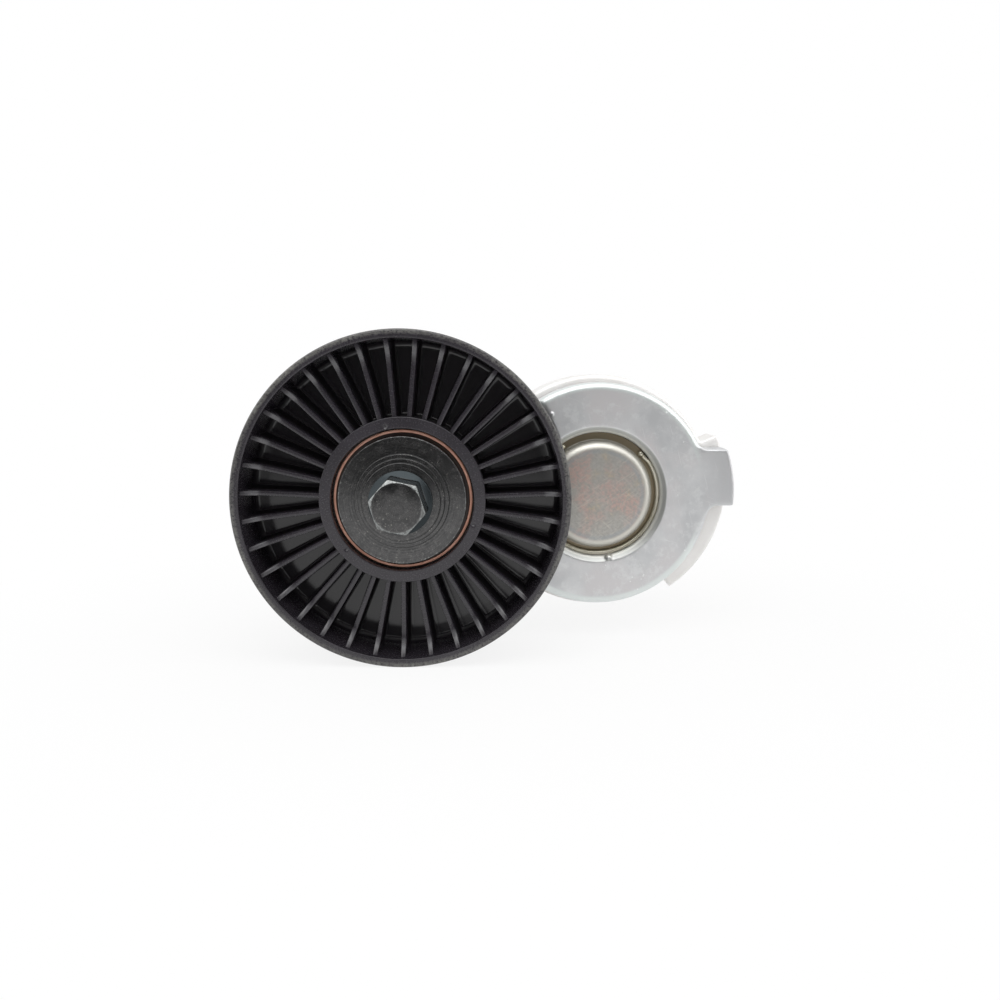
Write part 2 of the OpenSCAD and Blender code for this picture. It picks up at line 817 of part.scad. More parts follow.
module front_dust_shield() {
    disc_z = shield_front_z - shield_t;
    step_h = shield_rise / step_count;
    steps = [
        for (i = [step_count - 1 : -1 : 0], up = [0, 1])
            [bolt_flange_d / 2 + step_land + i * step_w, shield_top_z - (i + 1 - up) * step_h]
    ];
    color("dimgray") placed() at_pulley()
        rotate_extrude()
            polygon(concat(
                [[hole_r, bearing_front_z], [shield_boss_r, bearing_front_z], [shield_boss_r, disc_z]],
                [[shield_r, disc_z], [shield_r, shield_front_z - shield_edge]],
                [[shield_r - shield_edge, shield_front_z]],
                steps,
                [[hole_r, shield_top_z]]
            ));
}

module rear_dust_shield() {
    disc_t = shield_t / 2;
    color("dimgray") placed() at_pulley()
        rotate_extrude()
            polygon([
                [hole_r, boss_top_z], [shield_r, boss_top_z], [shield_r, boss_top_z + disc_t],
                [shield_boss_r, boss_top_z + disc_t], [shield_boss_r, bearing_z], [hole_r, bearing_z],
            ]);
}

// Groove that the balls roll in
module race() {
    rotate_extrude()
        translate([pitch_r, bearing_mid_z])
            circle(race_r);
}

module bearing_inner_ring() {
    color("silver") placed() at_pulley() difference() {
        ring(bore_r, inner_ring_r, bearing_z, bearing_w);
        race();
    }
}

// Turns with the belt

module pulley() {
    web_z = web_top_z - web_t;
    step_r = rim_r - rim_step;
    edge_r = pulley_r - rim_round;
    section = concat(
        [[lip_r, hub_front_z], [lip_r, bearing_front_z], [bearing_r + seat_gap, bearing_front_z]],
        [[bearing_r + seat_gap, bearing_z], [rear_lip_r, bearing_z], [rear_lip_r, web_z], [step_r, web_z]],
        [[rim_r, pulley_z]],
        arc_points(edge_r, pulley_z + rim_round, rim_round, -90, 0, 4),
        arc_points(edge_r, pulley_front_z - rim_round, rim_round, 0, 90, 4),
        [[rim_r, pulley_front_z], [rim_r, web_top_z + rim_step_h], [step_r, web_top_z + rim_step_h]],
        [[step_r, web_top_z], [hub_r, web_top_z], [hub_r, hub_front_z]]
    );
    color("darkslategray") placed() at_pulley() difference() {
        union() {
            rotate_extrude()
                polygon(section);
            for (i = [0 : rib_count - 1])
                rotate([0, 0, rib_phase + i * 360 / rib_count])
                    pulley_rib(step_r);
        }
        for (i = [0 : dimple_count - 1])
            rotate([0, 0, dimple_phase + i * 360 / dimple_count])
                translate([(lip_r + hub_r) / 2, 0, hub_front_z - dimple_h])
                    cylinder(d = dimple_d, h = dimple_h + over);
    }
}

// One rib: it rises from the hub to its rounded outer end, which stands clear of the upper rim
module pulley_rib(step_r) {
    inner_z = hub_front_z - rib_dip;
    outer_z = pulley_front_z - rib_drop;
    end_r = rim_r - rib_end_gap;
    bend_r = end_r - rib_round;
    lean = atan((outer_z - inner_z) / (bend_r - hub_r));
    outline = concat(
        [[hub_r - sink, web_top_z - sink], [hub_r - sink, inner_z]],
        arc_points(bend_r, outer_z - rib_round, rib_round, 90 + lean, 0, 5),
        [[end_r, web_top_z + rim_step_h - sink], [step_r + sink, web_top_z + rim_step_h - sink]],
        [[step_r + sink, web_top_z - sink]]
    );
    rotate([90, 0, 0])
        linear_extrude(rib_t, center = true)
            polygon(outline);
}

module bearing_outer_ring() {
    color("silver") placed() at_pulley() difference() {
        ring(outer_ring_r, bearing_r, bearing_z, bearing_w);
        race();
    }
}

module bearing_front_seal() {
    foot_r = outer_ring_r + pass_gap;
    low_z = bearing_front_z + seal_t / 2;
    top_z = low_z + seal_t;
    bead_z = top_z + seal_bead_h;
    color("saddlebrown") placed() at_pulley()
        rotate_extrude()
            polygon([
                [foot_r, bearing_front_z], [seal_r, bearing_front_z], [seal_r, bead_z], [bead_in_r, bead_z],
                [bead_in_r, top_z], [seal_in_r, top_z], [seal_in_r, low_z], [foot_r, low_z],
            ]);
}

module bearing_rear_seal() {
    color("saddlebrown") placed() at_pulley()
        ring(inner_ring_r + slide_gap, outer_ring_r - seat_gap, bearing_z + slide_gap, seal_t);
}

// Rolls between the two rings

// Draws its child once for each ball
module each_ball() {
    for (i = [0 : ball_count - 1])
        rotate([0, 0, i * 360 / ball_count])
            translate([pitch_r, 0, bearing_mid_z])
                children();
}

module bearing_cage() {
    low_z = bearing_mid_z - cage_finger;
    top_z = bearing_mid_z + ball_r + cage_back;
    color("tan") placed() at_pulley() difference() {
        ring(pitch_r - cage_w / 2, pitch_r + cage_w / 2, low_z, top_z - low_z);
        each_ball()
            sphere(ball_r + ball_clear);
    }
}

module bearing_balls() {
    color("whitesmoke") placed() at_pulley()
        each_ball()
            sphere(ball_r);
}

base_housing();
pivot_shaft();
locating_pin();
rear_thrust_washer();
front_thrust_washer();
retaining_plate();
spring_seat();
torsion_spring();
tensioner_arm();
pivot_bushing();
damper_shoe();
friction_lining();
pivot_cap();
cap_retaining_ring();
pulley_bolt();
bearing_sleeve();
front_dust_shield();
rear_dust_shield();
bearing_inner_ring();
pulley();
bearing_outer_ring();
bearing_front_seal();
bearing_rear_seal();
bearing_cage();
bearing_balls();
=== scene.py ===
"""Looks of a belt tensioner: a black ribbed pulley on a cast arm, in front of a cast spring case."""

import json
import math

import bmesh
import bpy
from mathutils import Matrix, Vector


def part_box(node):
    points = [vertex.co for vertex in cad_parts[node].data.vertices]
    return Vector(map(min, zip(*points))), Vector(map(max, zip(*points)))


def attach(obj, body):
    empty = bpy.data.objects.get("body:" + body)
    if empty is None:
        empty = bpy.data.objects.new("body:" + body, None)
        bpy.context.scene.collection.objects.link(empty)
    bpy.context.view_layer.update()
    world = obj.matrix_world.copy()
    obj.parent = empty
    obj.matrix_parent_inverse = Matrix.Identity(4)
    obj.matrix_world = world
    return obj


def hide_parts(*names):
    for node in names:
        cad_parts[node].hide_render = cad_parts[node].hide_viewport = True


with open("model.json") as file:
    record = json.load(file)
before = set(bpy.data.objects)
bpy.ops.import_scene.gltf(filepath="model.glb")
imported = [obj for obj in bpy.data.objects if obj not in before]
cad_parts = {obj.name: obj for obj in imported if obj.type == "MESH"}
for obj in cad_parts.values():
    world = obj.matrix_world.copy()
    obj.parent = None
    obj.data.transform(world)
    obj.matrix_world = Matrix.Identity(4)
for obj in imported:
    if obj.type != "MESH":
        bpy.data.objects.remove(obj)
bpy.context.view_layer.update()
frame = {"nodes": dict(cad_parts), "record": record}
nodes = frame["nodes"]

MM = 0.001

# Places that the frame gives, in millimetres: x to the right, y up, z from the mounting face to the viewer


def local_box(node):
    """Lowest and highest corner of a node in x, y, z."""
    low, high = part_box(node)
    return (low.x / MM, low.z / MM, -high.y / MM), (high.x / MM, high.z / MM, -low.y / MM)


def spread(node):
    """Radius of a round node, and the heights of its rear and its front."""
    low, high = local_box(node)
    return (high[0] - low[0]) / 2, low[2], high[2]


def joint_axis(name):
    """Place of a joint's axis, as x and y."""
    joints = {joint["name"]: joint for joint in frame["record"]["behaviour"]["joints"]}
    at = joints[name]["pos_m"]
    return at[0] / MM, at[2] / MM


PIVOT = joint_axis("arm_swing")
WHEEL = joint_axis("pulley_spin")
PULLEY_R, PULLEY_REAR, PULLEY_FRONT = spread("pulley")
CAP_R, CAP_FLOOR, FACE_Z = spread("pivot_cap")
SEAL_R, BEARING_FRONT, BEAD_Z = spread("bearing_front_seal")
SHIELD_R, _, SHIELD_TOP = spread("front_dust_shield")
_, REAR_SHIELD_Z, _ = spread("rear_dust_shield")
BEARING_R, BEARING_REAR, _ = spread("bearing_outer_ring")
BOLT_FLANGE_R, BOLT_TIP, BOLT_TOP = spread("pulley_bolt")
SHAFT_R, _, SHAFT_TOP = spread("pivot_shaft")
SPRING_R, SPRING_LOW, SPRING_HIGH = spread("torsion_spring")
PLATE_Z, PLATE_TOP = spread("retaining_plate")[1:]
FLOOR_Z = local_box("pulley")[0][1]


def place(x, y, z):
    """Point of the frame, in metres, for a local point."""
    return Vector((x, -z, y)) * MM


def link_new(name, data):
    """Links a new object that holds a mesh, a lamp or a camera."""
    thing = bpy.data.objects.new(name, data)
    bpy.context.scene.collection.objects.link(thing)
    return thing


def aim(thing, location, target):
    """Places a camera or a lamp so that it looks at a target."""
    thing.location = location
    thing.rotation_mode = "QUATERNION"
    thing.rotation_quaternion = (Vector(target) - Vector(location)).to_track_quat("-Z", "Y")


# Camera, at the photograph's place

LENS = 31.04
SENSOR = 36.0
VIEW_TARGET = (-29.35, 2.2, 60.0)
VIEW_DISTANCE = 227.94
VIEW_TILT = math.radians(7.95)
VIEW_YAW = math.radians(-0.56)


def make_camera():
    data = bpy.data.cameras.new("camera")
    data.lens = LENS
    data.sensor_width = SENSOR
    data.clip_start = 0.01
    data.clip_end = 20
    camera = link_new("camera", data)
    back = Vector((
        math.sin(VIEW_YAW) * math.cos(VIEW_TILT),
        math.sin(VIEW_TILT),
        math.cos(VIEW_YAW) * math.cos(VIEW_TILT),
    ))
    target = place(*VIEW_TARGET)
    aim(camera, target + VIEW_DISTANCE * place(*back), target)
    bpy.context.scene.camera = camera


# Shader nodes

SPECK_CORE = 0.6
SPECK_PATCH = 2.7
SPECK_SOFT = 0.03
SCRATCH_SOFT = 0.05


class Shader:
    """A material with its Principled shader, and short ways to add nodes to it."""

    def __init__(self, name, **sockets):
        self.material = bpy.data.materials.new(name)
        self.material.use_nodes = True
        self.tree = self.material.node_tree
        self.surface = self.tree.nodes["Principled BSDF"]
        for socket, value in sockets.items():
            self.set(socket.replace("_", " "), value)
        self.coords = self.tree.nodes.new("ShaderNodeTexCoord").outputs["Object"]

    def feed(self, socket, value):
        """Sets a socket to a value, or links a node's output to it."""
        if isinstance(value, bpy.types.NodeSocket):
            self.tree.links.new(value, socket)
        else:
            socket.default_value = value

    def set(self, socket, value):
        """Feeds an input of the Principled shader."""
        self.feed(self.surface.inputs[socket], value)

    def add(self, kind, inputs, **settings):
        """Adds a node. Inputs are values or outputs of other nodes, by socket name or number."""
        node = self.tree.nodes.new("ShaderNode" + kind)
        for key, value in settings.items():
            setattr(node, key, value)
        for key, value in inputs.items():
            self.feed(node.inputs[key], value)
        return node

    def math(self, operation, a, b=0.0, c=0.0):
        return self.add("Math", {0: a, 1: b, 2: c}, operation=operation).outputs[0]

    def both(self, *shares):
        """Product of shares, so that all of them have to hold."""
        total = shares[0]
        for share in shares[1:]:
            total = self.math("MULTIPLY", total, share)
        return total

    def noise(self, size, detail=2.0, roughness=0.5):
        """Noise whose features are about that size, in millimetres."""
        inputs = {"Vector": self.coords, "Scale": 1 / (size * MM), "Detail": detail, "Roughness": roughness}
        return self.add("TexNoise", inputs).outputs["Fac"]

    def cells(self, size):
        """Distance to scattered points that lie about that far apart, in millimetres, as a share of it."""
        return self.add("TexVoronoi", {"Vector": self.coords, "Scale": 1 / (size * MM)}).outputs["Distance"]

    def specks(self, spacing, size, share):
        """Small dots of a size, in millimetres, on a share of the places that lie that far apart."""
        dots = self.step(self.cells(spacing), size / spacing, SPECK_CORE * size / spacing)
        chosen = self.step(self.noise(spacing * SPECK_PATCH), 1 - share, 1 - share + SPECK_SOFT)
        return self.both(dots, chosen)

    def scratches(self, length, width, angle, low):
        """Fine lines along an angle, in degrees, where a stretched noise is above a bound."""
        size = (length * MM, length * MM, width * MM)
        inputs = {"Vector": self.coords, "Rotation": (0, math.radians(angle), 0), "Scale": size}
        turned = self.add("Mapping", inputs, vector_type="TEXTURE").outputs[0]
        lines = self.add("TexNoise", {"Vector": turned, "Scale": 1.0, "Detail": 1.0}).outputs["Fac"]
        return self.step(lines, low, low + SCRATCH_SOFT)

    def step(self, value, low, high, to_low=0.0, to_high=1.0):
        """Smooth step of a value from one bound to another, which may be lower."""
        if high < low:
            low, high, to_low, to_high = high, low, to_high, to_low
        inputs = {"Value": value, "From Min": low, "From Max": high, "To Min": to_low, "To Max": to_high}
        return self.add("MapRange", inputs, interpolation_type="SMOOTHSTEP").outputs["Result"]

    def band(self, value, low, high, soft):
        """1 between two bounds, with soft ends."""
        return self.both(self.step(value, low - soft, low + soft), self.step(value, high + soft, high - soft))

    def mix(self, share, a, b):
        """Mix of two colours."""
        return self.add("Mix", {"Factor": share, 6: a, 7: b}, data_type="RGBA").outputs[2]

    def blend(self, share, a, b):
        """Mix of two numbers."""
        return self.add("Mix", {"Factor": share, "A": a, "B": b}, data_type="FLOAT").outputs["Result"]

    def radius(self, axis):
        """Distance from an axis that points at the viewer, in millimetres."""
        shift = self.add("VectorMath", {0: self.coords, 1: place(*axis, 0)}, operation="SUBTRACT")
        flat = self.add("VectorMath", {0: shift.outputs[0], 1: (1 / MM, 0, 1 / MM)}, operation="MULTIPLY")
        return self.add("VectorMath", {0: flat.outputs[0]}, operation="LENGTH").outputs["Value"]

    def along(self, angle):
        """Distance from the pivot along a direction in the arm's face, in degrees and millimetres."""
        way = place(math.cos(math.radians(angle)), math.sin(math.radians(angle)), 0) / MM / MM
        return self.add("VectorMath", {0: self.coords, 1: way}, operation="DOT_PRODUCT").outputs["Value"]

    def height(self):
        """Distance from the mounting face, in millimetres."""
        split = self.add("SeparateXYZ", {0: self.coords})
        return self.math("MULTIPLY", split.outputs["Y"], -1 / MM)

    def turned(self, axis, size):
        """Uneven rings about an axis, as left by a lathe."""
        rings = self.math("MULTIPLY", self.radius(axis), 1 / size)
        inputs = {"W": rings, "Scale": 1.0, "Detail": 3.0, "Roughness": 0.7}
        return self.add("TexNoise", inputs, noise_dimensions="1D").outputs["Fac"]

    def bump(self, height, depth, below=None):
        """Bump of that depth, in millimetres, over another one."""
        inputs = {"Height": height, "Distance": depth * MM}
        if below is not None:
            inputs["Normal"] = below
        return self.add("Bump", inputs).outputs["Normal"]


def rgb(red, green, blue):
    return (red, green, blue, 1.0)


# Mesh tools

WELD = 1e-7


def add_piece(name, mesh, node, body, material):
    """Links a mesh as a piece that moves with a body and stands for a node."""
    piece = link_new(name, mesh)
    mesh.materials.clear()
    mesh.materials.append(material)
    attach(piece, body)
    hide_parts(node)


def shade(mesh, angle=35):
    """Smooth shading, apart from edges that are sharper than the angle."""
    for polygon in mesh.polygons:
        polygon.use_smooth = True
    mesh.set_sharp_from_angle(angle=math.radians(angle))


def weld(mesh, outward=False):
    """Joins points that coincide and, if asked, turns all faces outward."""
    work = bmesh.new()
    work.from_mesh(mesh)
    bmesh.ops.remove_doubles(work, verts=work.verts, dist=WELD)
    if outward:
        bmesh.ops.recalc_face_normals(work, faces=work.faces)
    work.to_mesh(mesh)
    work.free()


def ring_grid(name, rows, closed=True):
    """Closed mesh of rows that run round. The rows join up, or else end in points."""
    count, width = len(rows), len(rows[0])
    faces = []
    for i in range(count if closed else count - 1):
        j = (i + 1) % count
        for k in range(width):
            n = (k + 1) % width
            faces.append((i * width + k, i * width + n, j * width + n, j * width + k))
    mesh = bpy.data.meshes.new(name)
    mesh.from_pydata([point for row in rows for point in row], [], faces)
    weld(mesh, outward=True)
    shade(mesh)
    return mesh


def round_grid(name, axis, rows, closed=True):
    """Closed mesh of rows of points (r, angle, z) about an axis."""
    points = [
        [place(axis[0] + r * math.cos(a), axis[1] + r * math.sin(a), z) for r, a, z in row]
        for row in rows
    ]
    return ring_grid(name, points, closed)


def rounded(corners, steps=4):
    """Outline with its corners (r, z, rounding) turned into arcs. The ends of an open outline have none."""
    outline = []
    for i, (r, z, size) in enumerate(corners):
        here = Vector((r, z))
        if size == 0:
            outline.append(tuple(here))
            continue
        before = (Vector(corners[i - 1][:2]) - here).normalized()
        after = (Vector(corners[(i + 1) % len(corners)][:2]) - here).normalized()
        half = before.angle(after) / 2
        middle = here + (before + after).normalized() * size / math.sin(half)
        start = here + before * size / math.tan(half) - middle
        finish = here + after * size / math.tan(half) - middle
        sweep = start.angle_signed(finish)
        for step in range(steps + 1):
            turn = -sweep * step / steps
            cos, sin = math.cos(turn), math.sin(turn)
            outline.append((
                middle.x + start.x * cos - start.y * sin,
                middle.y + start.x * sin + start.y * cos,
            ))
    return outline


def turns(steps):
    """Angles of a full turn."""
    return [2 * math.pi * k / steps for k in range(steps)]


def turned_mesh(name, axis, outline, closed=True, steps=160):
    """Mesh of an outline turned about an axis."""
    rows = [[(r, t, z) for t in turns(steps)] for r, z in outline]
    return round_grid(name, axis, rows, closed)


def coil(name, stations, climb, sides=16):
    """Wire round the pivot axis, by stations of angle, radius, height and the wire's own radius."""
    rows = []
    for angle, radius, height, size in stations:
        out = Vector((math.cos(angle), math.sin(angle), 0))
        ahead = Vector((-radius * math.sin(angle), radius * math.cos(angle), climb)).normalized()
        up = out.cross(ahead)
        middle = out * radius + Vector((0, 0, height))
        rows.append([
            place(*(middle + size * (math.cos(t) * out + math.sin(t) * up)))
            for t in turns(sides)
        ])
    return ring_grid(name, rows, closed=False)


def add_smooth(source, passes):
    """Adds a modifier that rounds an object's edges."""
    smooth = source.modifiers.new("smooth", "SMOOTH")
    smooth.factor = 0.5
    smooth.iterations = passes
    return smooth


def applied(source):
    """Mesh of an object with its modifiers applied. The object itself is removed."""
    view = bpy.context.evaluated_depsgraph_get()
    mesh = bpy.data.meshes.new_from_object(source.evaluated_get(view))
    bpy.data.objects.remove(source)
    return mesh


def softened(node, voxel, passes):
    """Copy of a node's mesh whose edges are rounded as a casting's are."""
    source = link_new("soft_" + node, nodes[node].data.copy())
    weld(source.data)
    remesh = source.modifiers.new("remesh", "REMESH")
    remesh.mode = "VOXEL"
    remesh.voxel_size = voxel * MM
    add_smooth(source, passes)
    return applied(source)


def eased(mesh, chosen, passes):
    """Mesh whose edges are rounded further at the chosen vertices."""
    source = link_new("eased", mesh)
    group = source.vertex_groups.new(name="edges")
    group.add([v.index for v in mesh.vertices if chosen(v.co)], 1.0, "ADD")
    add_smooth(source, passes).vertex_group = group.name
    return applied(source)


def thinned(mesh, ratio):
    """Mesh with fewer faces, shaded smooth."""
    source = link_new("thin", mesh)
    thin = source.modifiers.new("thin", "DECIMATE")
    thin.ratio = ratio
    result = applied(source)
    shade(result, angle=50)
    return result


# Pulley

RIB_COUNT = 35
RIB_PHASE = math.radians(-8)
RIB_HALF = 0.65
RIB_EDGE = 0.28
RIB_FOOT = 0.6
RIB_Z = PULLEY_FRONT - 5.1
RIB_RISE_R = 36.0
RIB_END_Z = PULLEY_FRONT - 1.8
ROOT_SHARE = 0.03
CORNER_SHARE = 0.3
POCKET_Z = PULLEY_FRONT - 16.0
POCKET_ROUND = 1.6
POCKET_FOOT = 0.8
WEB_REAR = PULLEY_FRONT - 21.5
STEP_R = 41.2
RIM_R = 42.6
WALL_STEP = 0.3
HUB_R = BEARING_R + 2.32
HUB_FRONT = PULLEY_FRONT - 4.0
HUB_EDGE = 0.25
LIP_R = SEAL_R + 0.4
LIP_EDGE = 0.18
REAR_LIP_R = SHIELD_R + 1.2
SEAT_R = BEARING_R + 0.02
DIMPLE_ANGLES = [math.radians(a) for a in (102, 221, 341)]
DIMPLE_R = 0.75
DIMPLE_AT = LIP_R + 0.85
DIMPLE_DEPTH = 0.45

NYLON_TONES = rgb(0.019, 0.0165, 0.0205), rgb(0.025, 0.022, 0.027)
SCUFF_TONE = rgb(0.14, 0.138, 0.126)
SCUFF_R = (43.4, 44.2)
SCUFF_Z = (PULLEY_FRONT - 1.6, PULLEY_FRONT - 0.5)
SCUFF_ROUGHNESS = 0.26
WALL_FADE = 0.4
RIB_TOP_Z = (RIB_Z - 0.6, RIB_Z - 0.2)
# Painted highlight: a lighter tone on the outer ends of the rib tops
RIB_END_HIGHLIGHT_TONE = rgb(0.075, 0.073, 0.078)
HIGHLIGHT_START_R = (37.6, 39.2)
HIGHLIGHT_END_R = (41.6, 40.2)
# Painted shade: a darker tone deep in the pockets between the ribs
DEEP_SHADE_TONE = rgb(0.011, 0.0095, 0.0115)
DEEP_Z = (RIB_Z - 2.0, RIB_Z - 5.0)
DEEP_ROUGHNESS = 0.5
PANEL_Z = (POCKET_Z + 0.12, POCKET_Z + 0.03)
PANEL_ROUGHNESS = 0.13


def black_nylon():
    """Moulded glass-filled nylon: near black, scuffed rim, painted highlight on rib ends, painted shade deep
    in pockets.
    """
    m = Shader("black_nylon", Metallic=0.0, IOR=1.56)
    r = m.radius(WHEEL)
    z = m.height()
    grain = m.noise(0.35, 3)
    body = m.mix(m.step(m.noise(14, 3), 0.35, 0.7), *NYLON_TONES)
    patches = m.both(
        m.step(m.noise(22, 2), 0.38, 0.62, to_low=0.5),
        m.step(z, *SCUFF_Z, to_low=0.25),
    )
    rim = m.both(m.step(r, *SCUFF_R), m.step(m.noise(0.7, 5, 0.8), 0.37, 0.60), patches)
    inside = m.step(r, RIM_R, RIM_R - WALL_FADE)
    rib_top = m.both(inside, m.step(z, *RIB_TOP_Z))
    # Painted highlight on the outer ends of the rib tops
    ends = m.both(rib_top, m.step(r, *HIGHLIGHT_START_R), m.step(r, *HIGHLIGHT_END_R))
    deep = m.both(inside, m.step(z, *DEEP_Z))
    tone = m.mix(rim, body, SCUFF_TONE)
    # Painted shade deep in the pockets
    tone = m.mix(deep, tone, DEEP_SHADE_TONE)
    m.set("Base Color", m.mix(ends, tone, RIB_END_HIGHLIGHT_TONE))
    satin = m.step(grain, 0.3, 0.7, to_low=0.24, to_high=0.28)
    panel = m.step(z, *PANEL_Z)
    smooth = m.blend(deep, satin, m.blend(panel, DEEP_ROUGHNESS, PANEL_ROUGHNESS))
    m.set("Roughness", m.math("ADD", smooth, m.math("MULTIPLY", rim, SCUFF_ROUGHNESS)))
    uneven = m.both(m.noise(1.2, 4, 0.7), m.step(r, RIM_R, RIM_R + WALL_FADE, to_low=0.1))
    m.set("Normal", m.bump(uneven, 0.008))
    return m.material


def line(start, finish, count):
    """Points after the start, up to the finish."""
    a, b = Vector(start), Vector(finish)
    return [a.lerp(b, (i + 1) / count) for i in range(count)]


def arc(centre, size, start, finish, count):
    """Points of an arc after its start, in degrees."""
    angles = [math.radians(start + (finish - start) * (i + 1) / count) for i in range(count)]
    return [Vector((centre[0] + size * math.cos(t), centre[1] + size * math.sin(t))) for t in angles]


def rib_line():
    """Top of a rib in r and z, from the hub along its flat and up a hollow curve to the rim's wall."""
    edge = Vector((HUB_R, HUB_FRONT - HUB_EDGE))
    root = Vector((HUB_R, RIB_Z))
    start = Vector((RIB_RISE_R, RIB_Z))
    near = root.lerp(start, ROOT_SHARE)
    reach, rise = RIM_R - RIB_RISE_R, RIB_END_Z - RIB_Z
    size = (reach * reach + rise * rise) / (2 * rise)
    end = 270 + math.degrees(math.asin(reach / size))
    return [
        edge,
        *line(edge, root, 2),
        *line(root, near, 3),
        *line(near, start, 8),
        *arc((RIB_RISE_R, RIB_Z + size), size, 270, end, 9),
        Vector((RIM_R, RIB_END_Z + WALL_STEP)),
    ]


def pocket_line():
    """Floor between two ribs in r and z, with as many points as the rib's top."""
    low, high = HUB_R + POCKET_FOOT, RIM_R - POCKET_ROUND
    edge = Vector((HUB_R, HUB_FRONT - HUB_EDGE))
    return [
        edge,
        *line(edge, (HUB_R, POCKET_Z + POCKET_FOOT), 2),
        *arc((low, POCKET_Z + POCKET_FOOT), POCKET_FOOT, 180, 270, 3),
        *line((low, POCKET_Z), (high, POCKET_Z), 8),
        *arc((high, POCKET_Z + POCKET_ROUND), POCKET_ROUND, 270, 360, 6),
        *line((RIM_R, POCKET_Z + POCKET_ROUND), (RIM_R, RIB_END_Z), 3),
        Vector((RIM_R, RIB_END_Z + WALL_STEP)),
    ]


def toward(a, b, distance):
    """Point a moved towards b, by no more than a third of the way."""
    gap = (b - a).length
    return a.lerp(b, min(distance / gap, 0.33)) if gap > 1e-6 else a.copy()


def recess_row(top, floor):
    """One row of points round the ribbed recess, as (r, angle, z), and the same for every rib."""
    pitch = 2 * math.pi / RIB_COUNT
    flank = [
        (top, RIB_HALF - RIB_EDGE),
        (toward(top, floor, CORNER_SHARE * RIB_EDGE), RIB_HALF - CORNER_SHARE * RIB_EDGE),
        (toward(top, floor, RIB_EDGE), RIB_HALF),
        (toward(floor, top, RIB_FOOT), RIB_HALF),
        (toward(floor, top, CORNER_SHARE * RIB_FOOT), RIB_HALF + CORNER_SHARE * RIB_FOOT),
        (floor, RIB_HALF + RIB_FOOT),
    ]
    side = [(p.x, math.atan2(offset, p.x), p.y) for p, offset in flank]
    foot = side[-1][1]
    side += [(floor.x, foot + (pitch / 2 - foot) * share, floor.y) for share in (1 / 3, 2 / 3)]
    middle = [(top.x, 0.0, top.y)]
    mirrored = [(r, -angle, z) for r, angle, z in reversed(side)]
    one = [(floor.x, -pitch / 2, floor.y)] + mirrored + middle + side
    return [
        (r, RIB_PHASE + i * pitch + angle, z)
        for i in range(RIB_COUNT)
        for r, angle, z in one
    ]


def dimple(r, angle):
    """Depth of the moulding dimples at a point of the hub's face."""
    depth = 0.0
    for at in DIMPLE_ANGLES:
        away = math.hypot(r * math.cos(angle - at) - DIMPLE_AT, r * math.sin(angle - at))
        if away < DIMPLE_R:
            depth = DIMPLE_DEPTH * (0.5 + 0.5 * math.cos(math.pi * away / DIMPLE_R))
    return depth


def pulley_rows():
    """All rows of the pulley, from the recess over the rim, the rear and the hub's bore to its face."""
    recess = [recess_row(top, floor) for top, floor in zip(rib_line(), pocket_line())]
    outer = [angle for _, angle, _ in recess[-1]]
    inner = [angle for _, angle, _ in recess[0]]
    face_r = LIP_R + LIP_EDGE
    turned = rounded([
        (RIM_R, RIB_END_Z + 2 * WALL_STEP, 0), (RIM_R, PULLEY_FRONT, 0.3), (PULLEY_R, PULLEY_FRONT, 0.6),
        (PULLEY_R, PULLEY_REAR, 1.2), (RIM_R, PULLEY_REAR, 0.35), (STEP_R, WEB_REAR, 0.6),
        (REAR_LIP_R, WEB_REAR, 0.4), (REAR_LIP_R, BEARING_REAR, 0.1), (SEAT_R, BEARING_REAR, 0.1),
        (SEAT_R, BEARING_FRONT, 0.1), (LIP_R, BEARING_FRONT, 0.1), (LIP_R, HUB_FRONT, LIP_EDGE),
        (face_r, HUB_FRONT, 0),
    ])
    face = [(face_r + (HUB_R - HUB_EDGE - face_r) * i / 10, HUB_FRONT) for i in range(1, 11)]
    face += [
        (HUB_R - HUB_EDGE + HUB_EDGE * math.sin(t), HUB_FRONT - HUB_EDGE + HUB_EDGE * math.cos(t))
        for t in (math.radians(30), math.radians(60))
    ]
    rows = list(recess)
    rows += [[(r, angle, z) for angle in (outer if r > HUB_R else inner)] for r, z in turned]
    rows += [[(r, angle, z - dimple(r, angle)) for angle in inner] for r, z in face]
    return rows


def make_pulley():
    mesh = round_grid("ribbed_pulley", WHEEL, pulley_rows())
    add_piece("ribbed_pulley", mesh, "pulley", "pulley", black_nylon())


# Front seal of the bearing

SEAL_T = 0.6
SEAL_IN_R = 11.55
SEAL_FOOT_R = 16.85
SEAL_TONE = rgb(0.018, 0.010, 0.008)
BEAD_R = 0.5
BEAD_FADE = (SEAL_R - 1.65 * BEAD_R, SEAL_R - 1.35 * BEAD_R)
BEAD_TONES = rgb(0.52, 0.265, 0.19), rgb(0.60, 0.33, 0.25)


def seal_rubber():
    """Dark rubber whose moulded bead is copper brown."""
    m = Shader("seal_rubber", IOR=1.5)
    bead = m.step(m.radius(WHEEL), *BEAD_FADE)
    copper = m.mix(m.step(m.noise(3, 3), 0.35, 0.65), *BEAD_TONES)
    m.set("Base Color", m.mix(bead, SEAL_TONE, copper))
    m.set("Roughness", m.step(m.noise(0.4, 3), 0.3, 0.7, to_low=0.30, to_high=0.40))
    m.set("Normal", m.bump(m.noise(0.5, 3), 0.006))
    return m.material


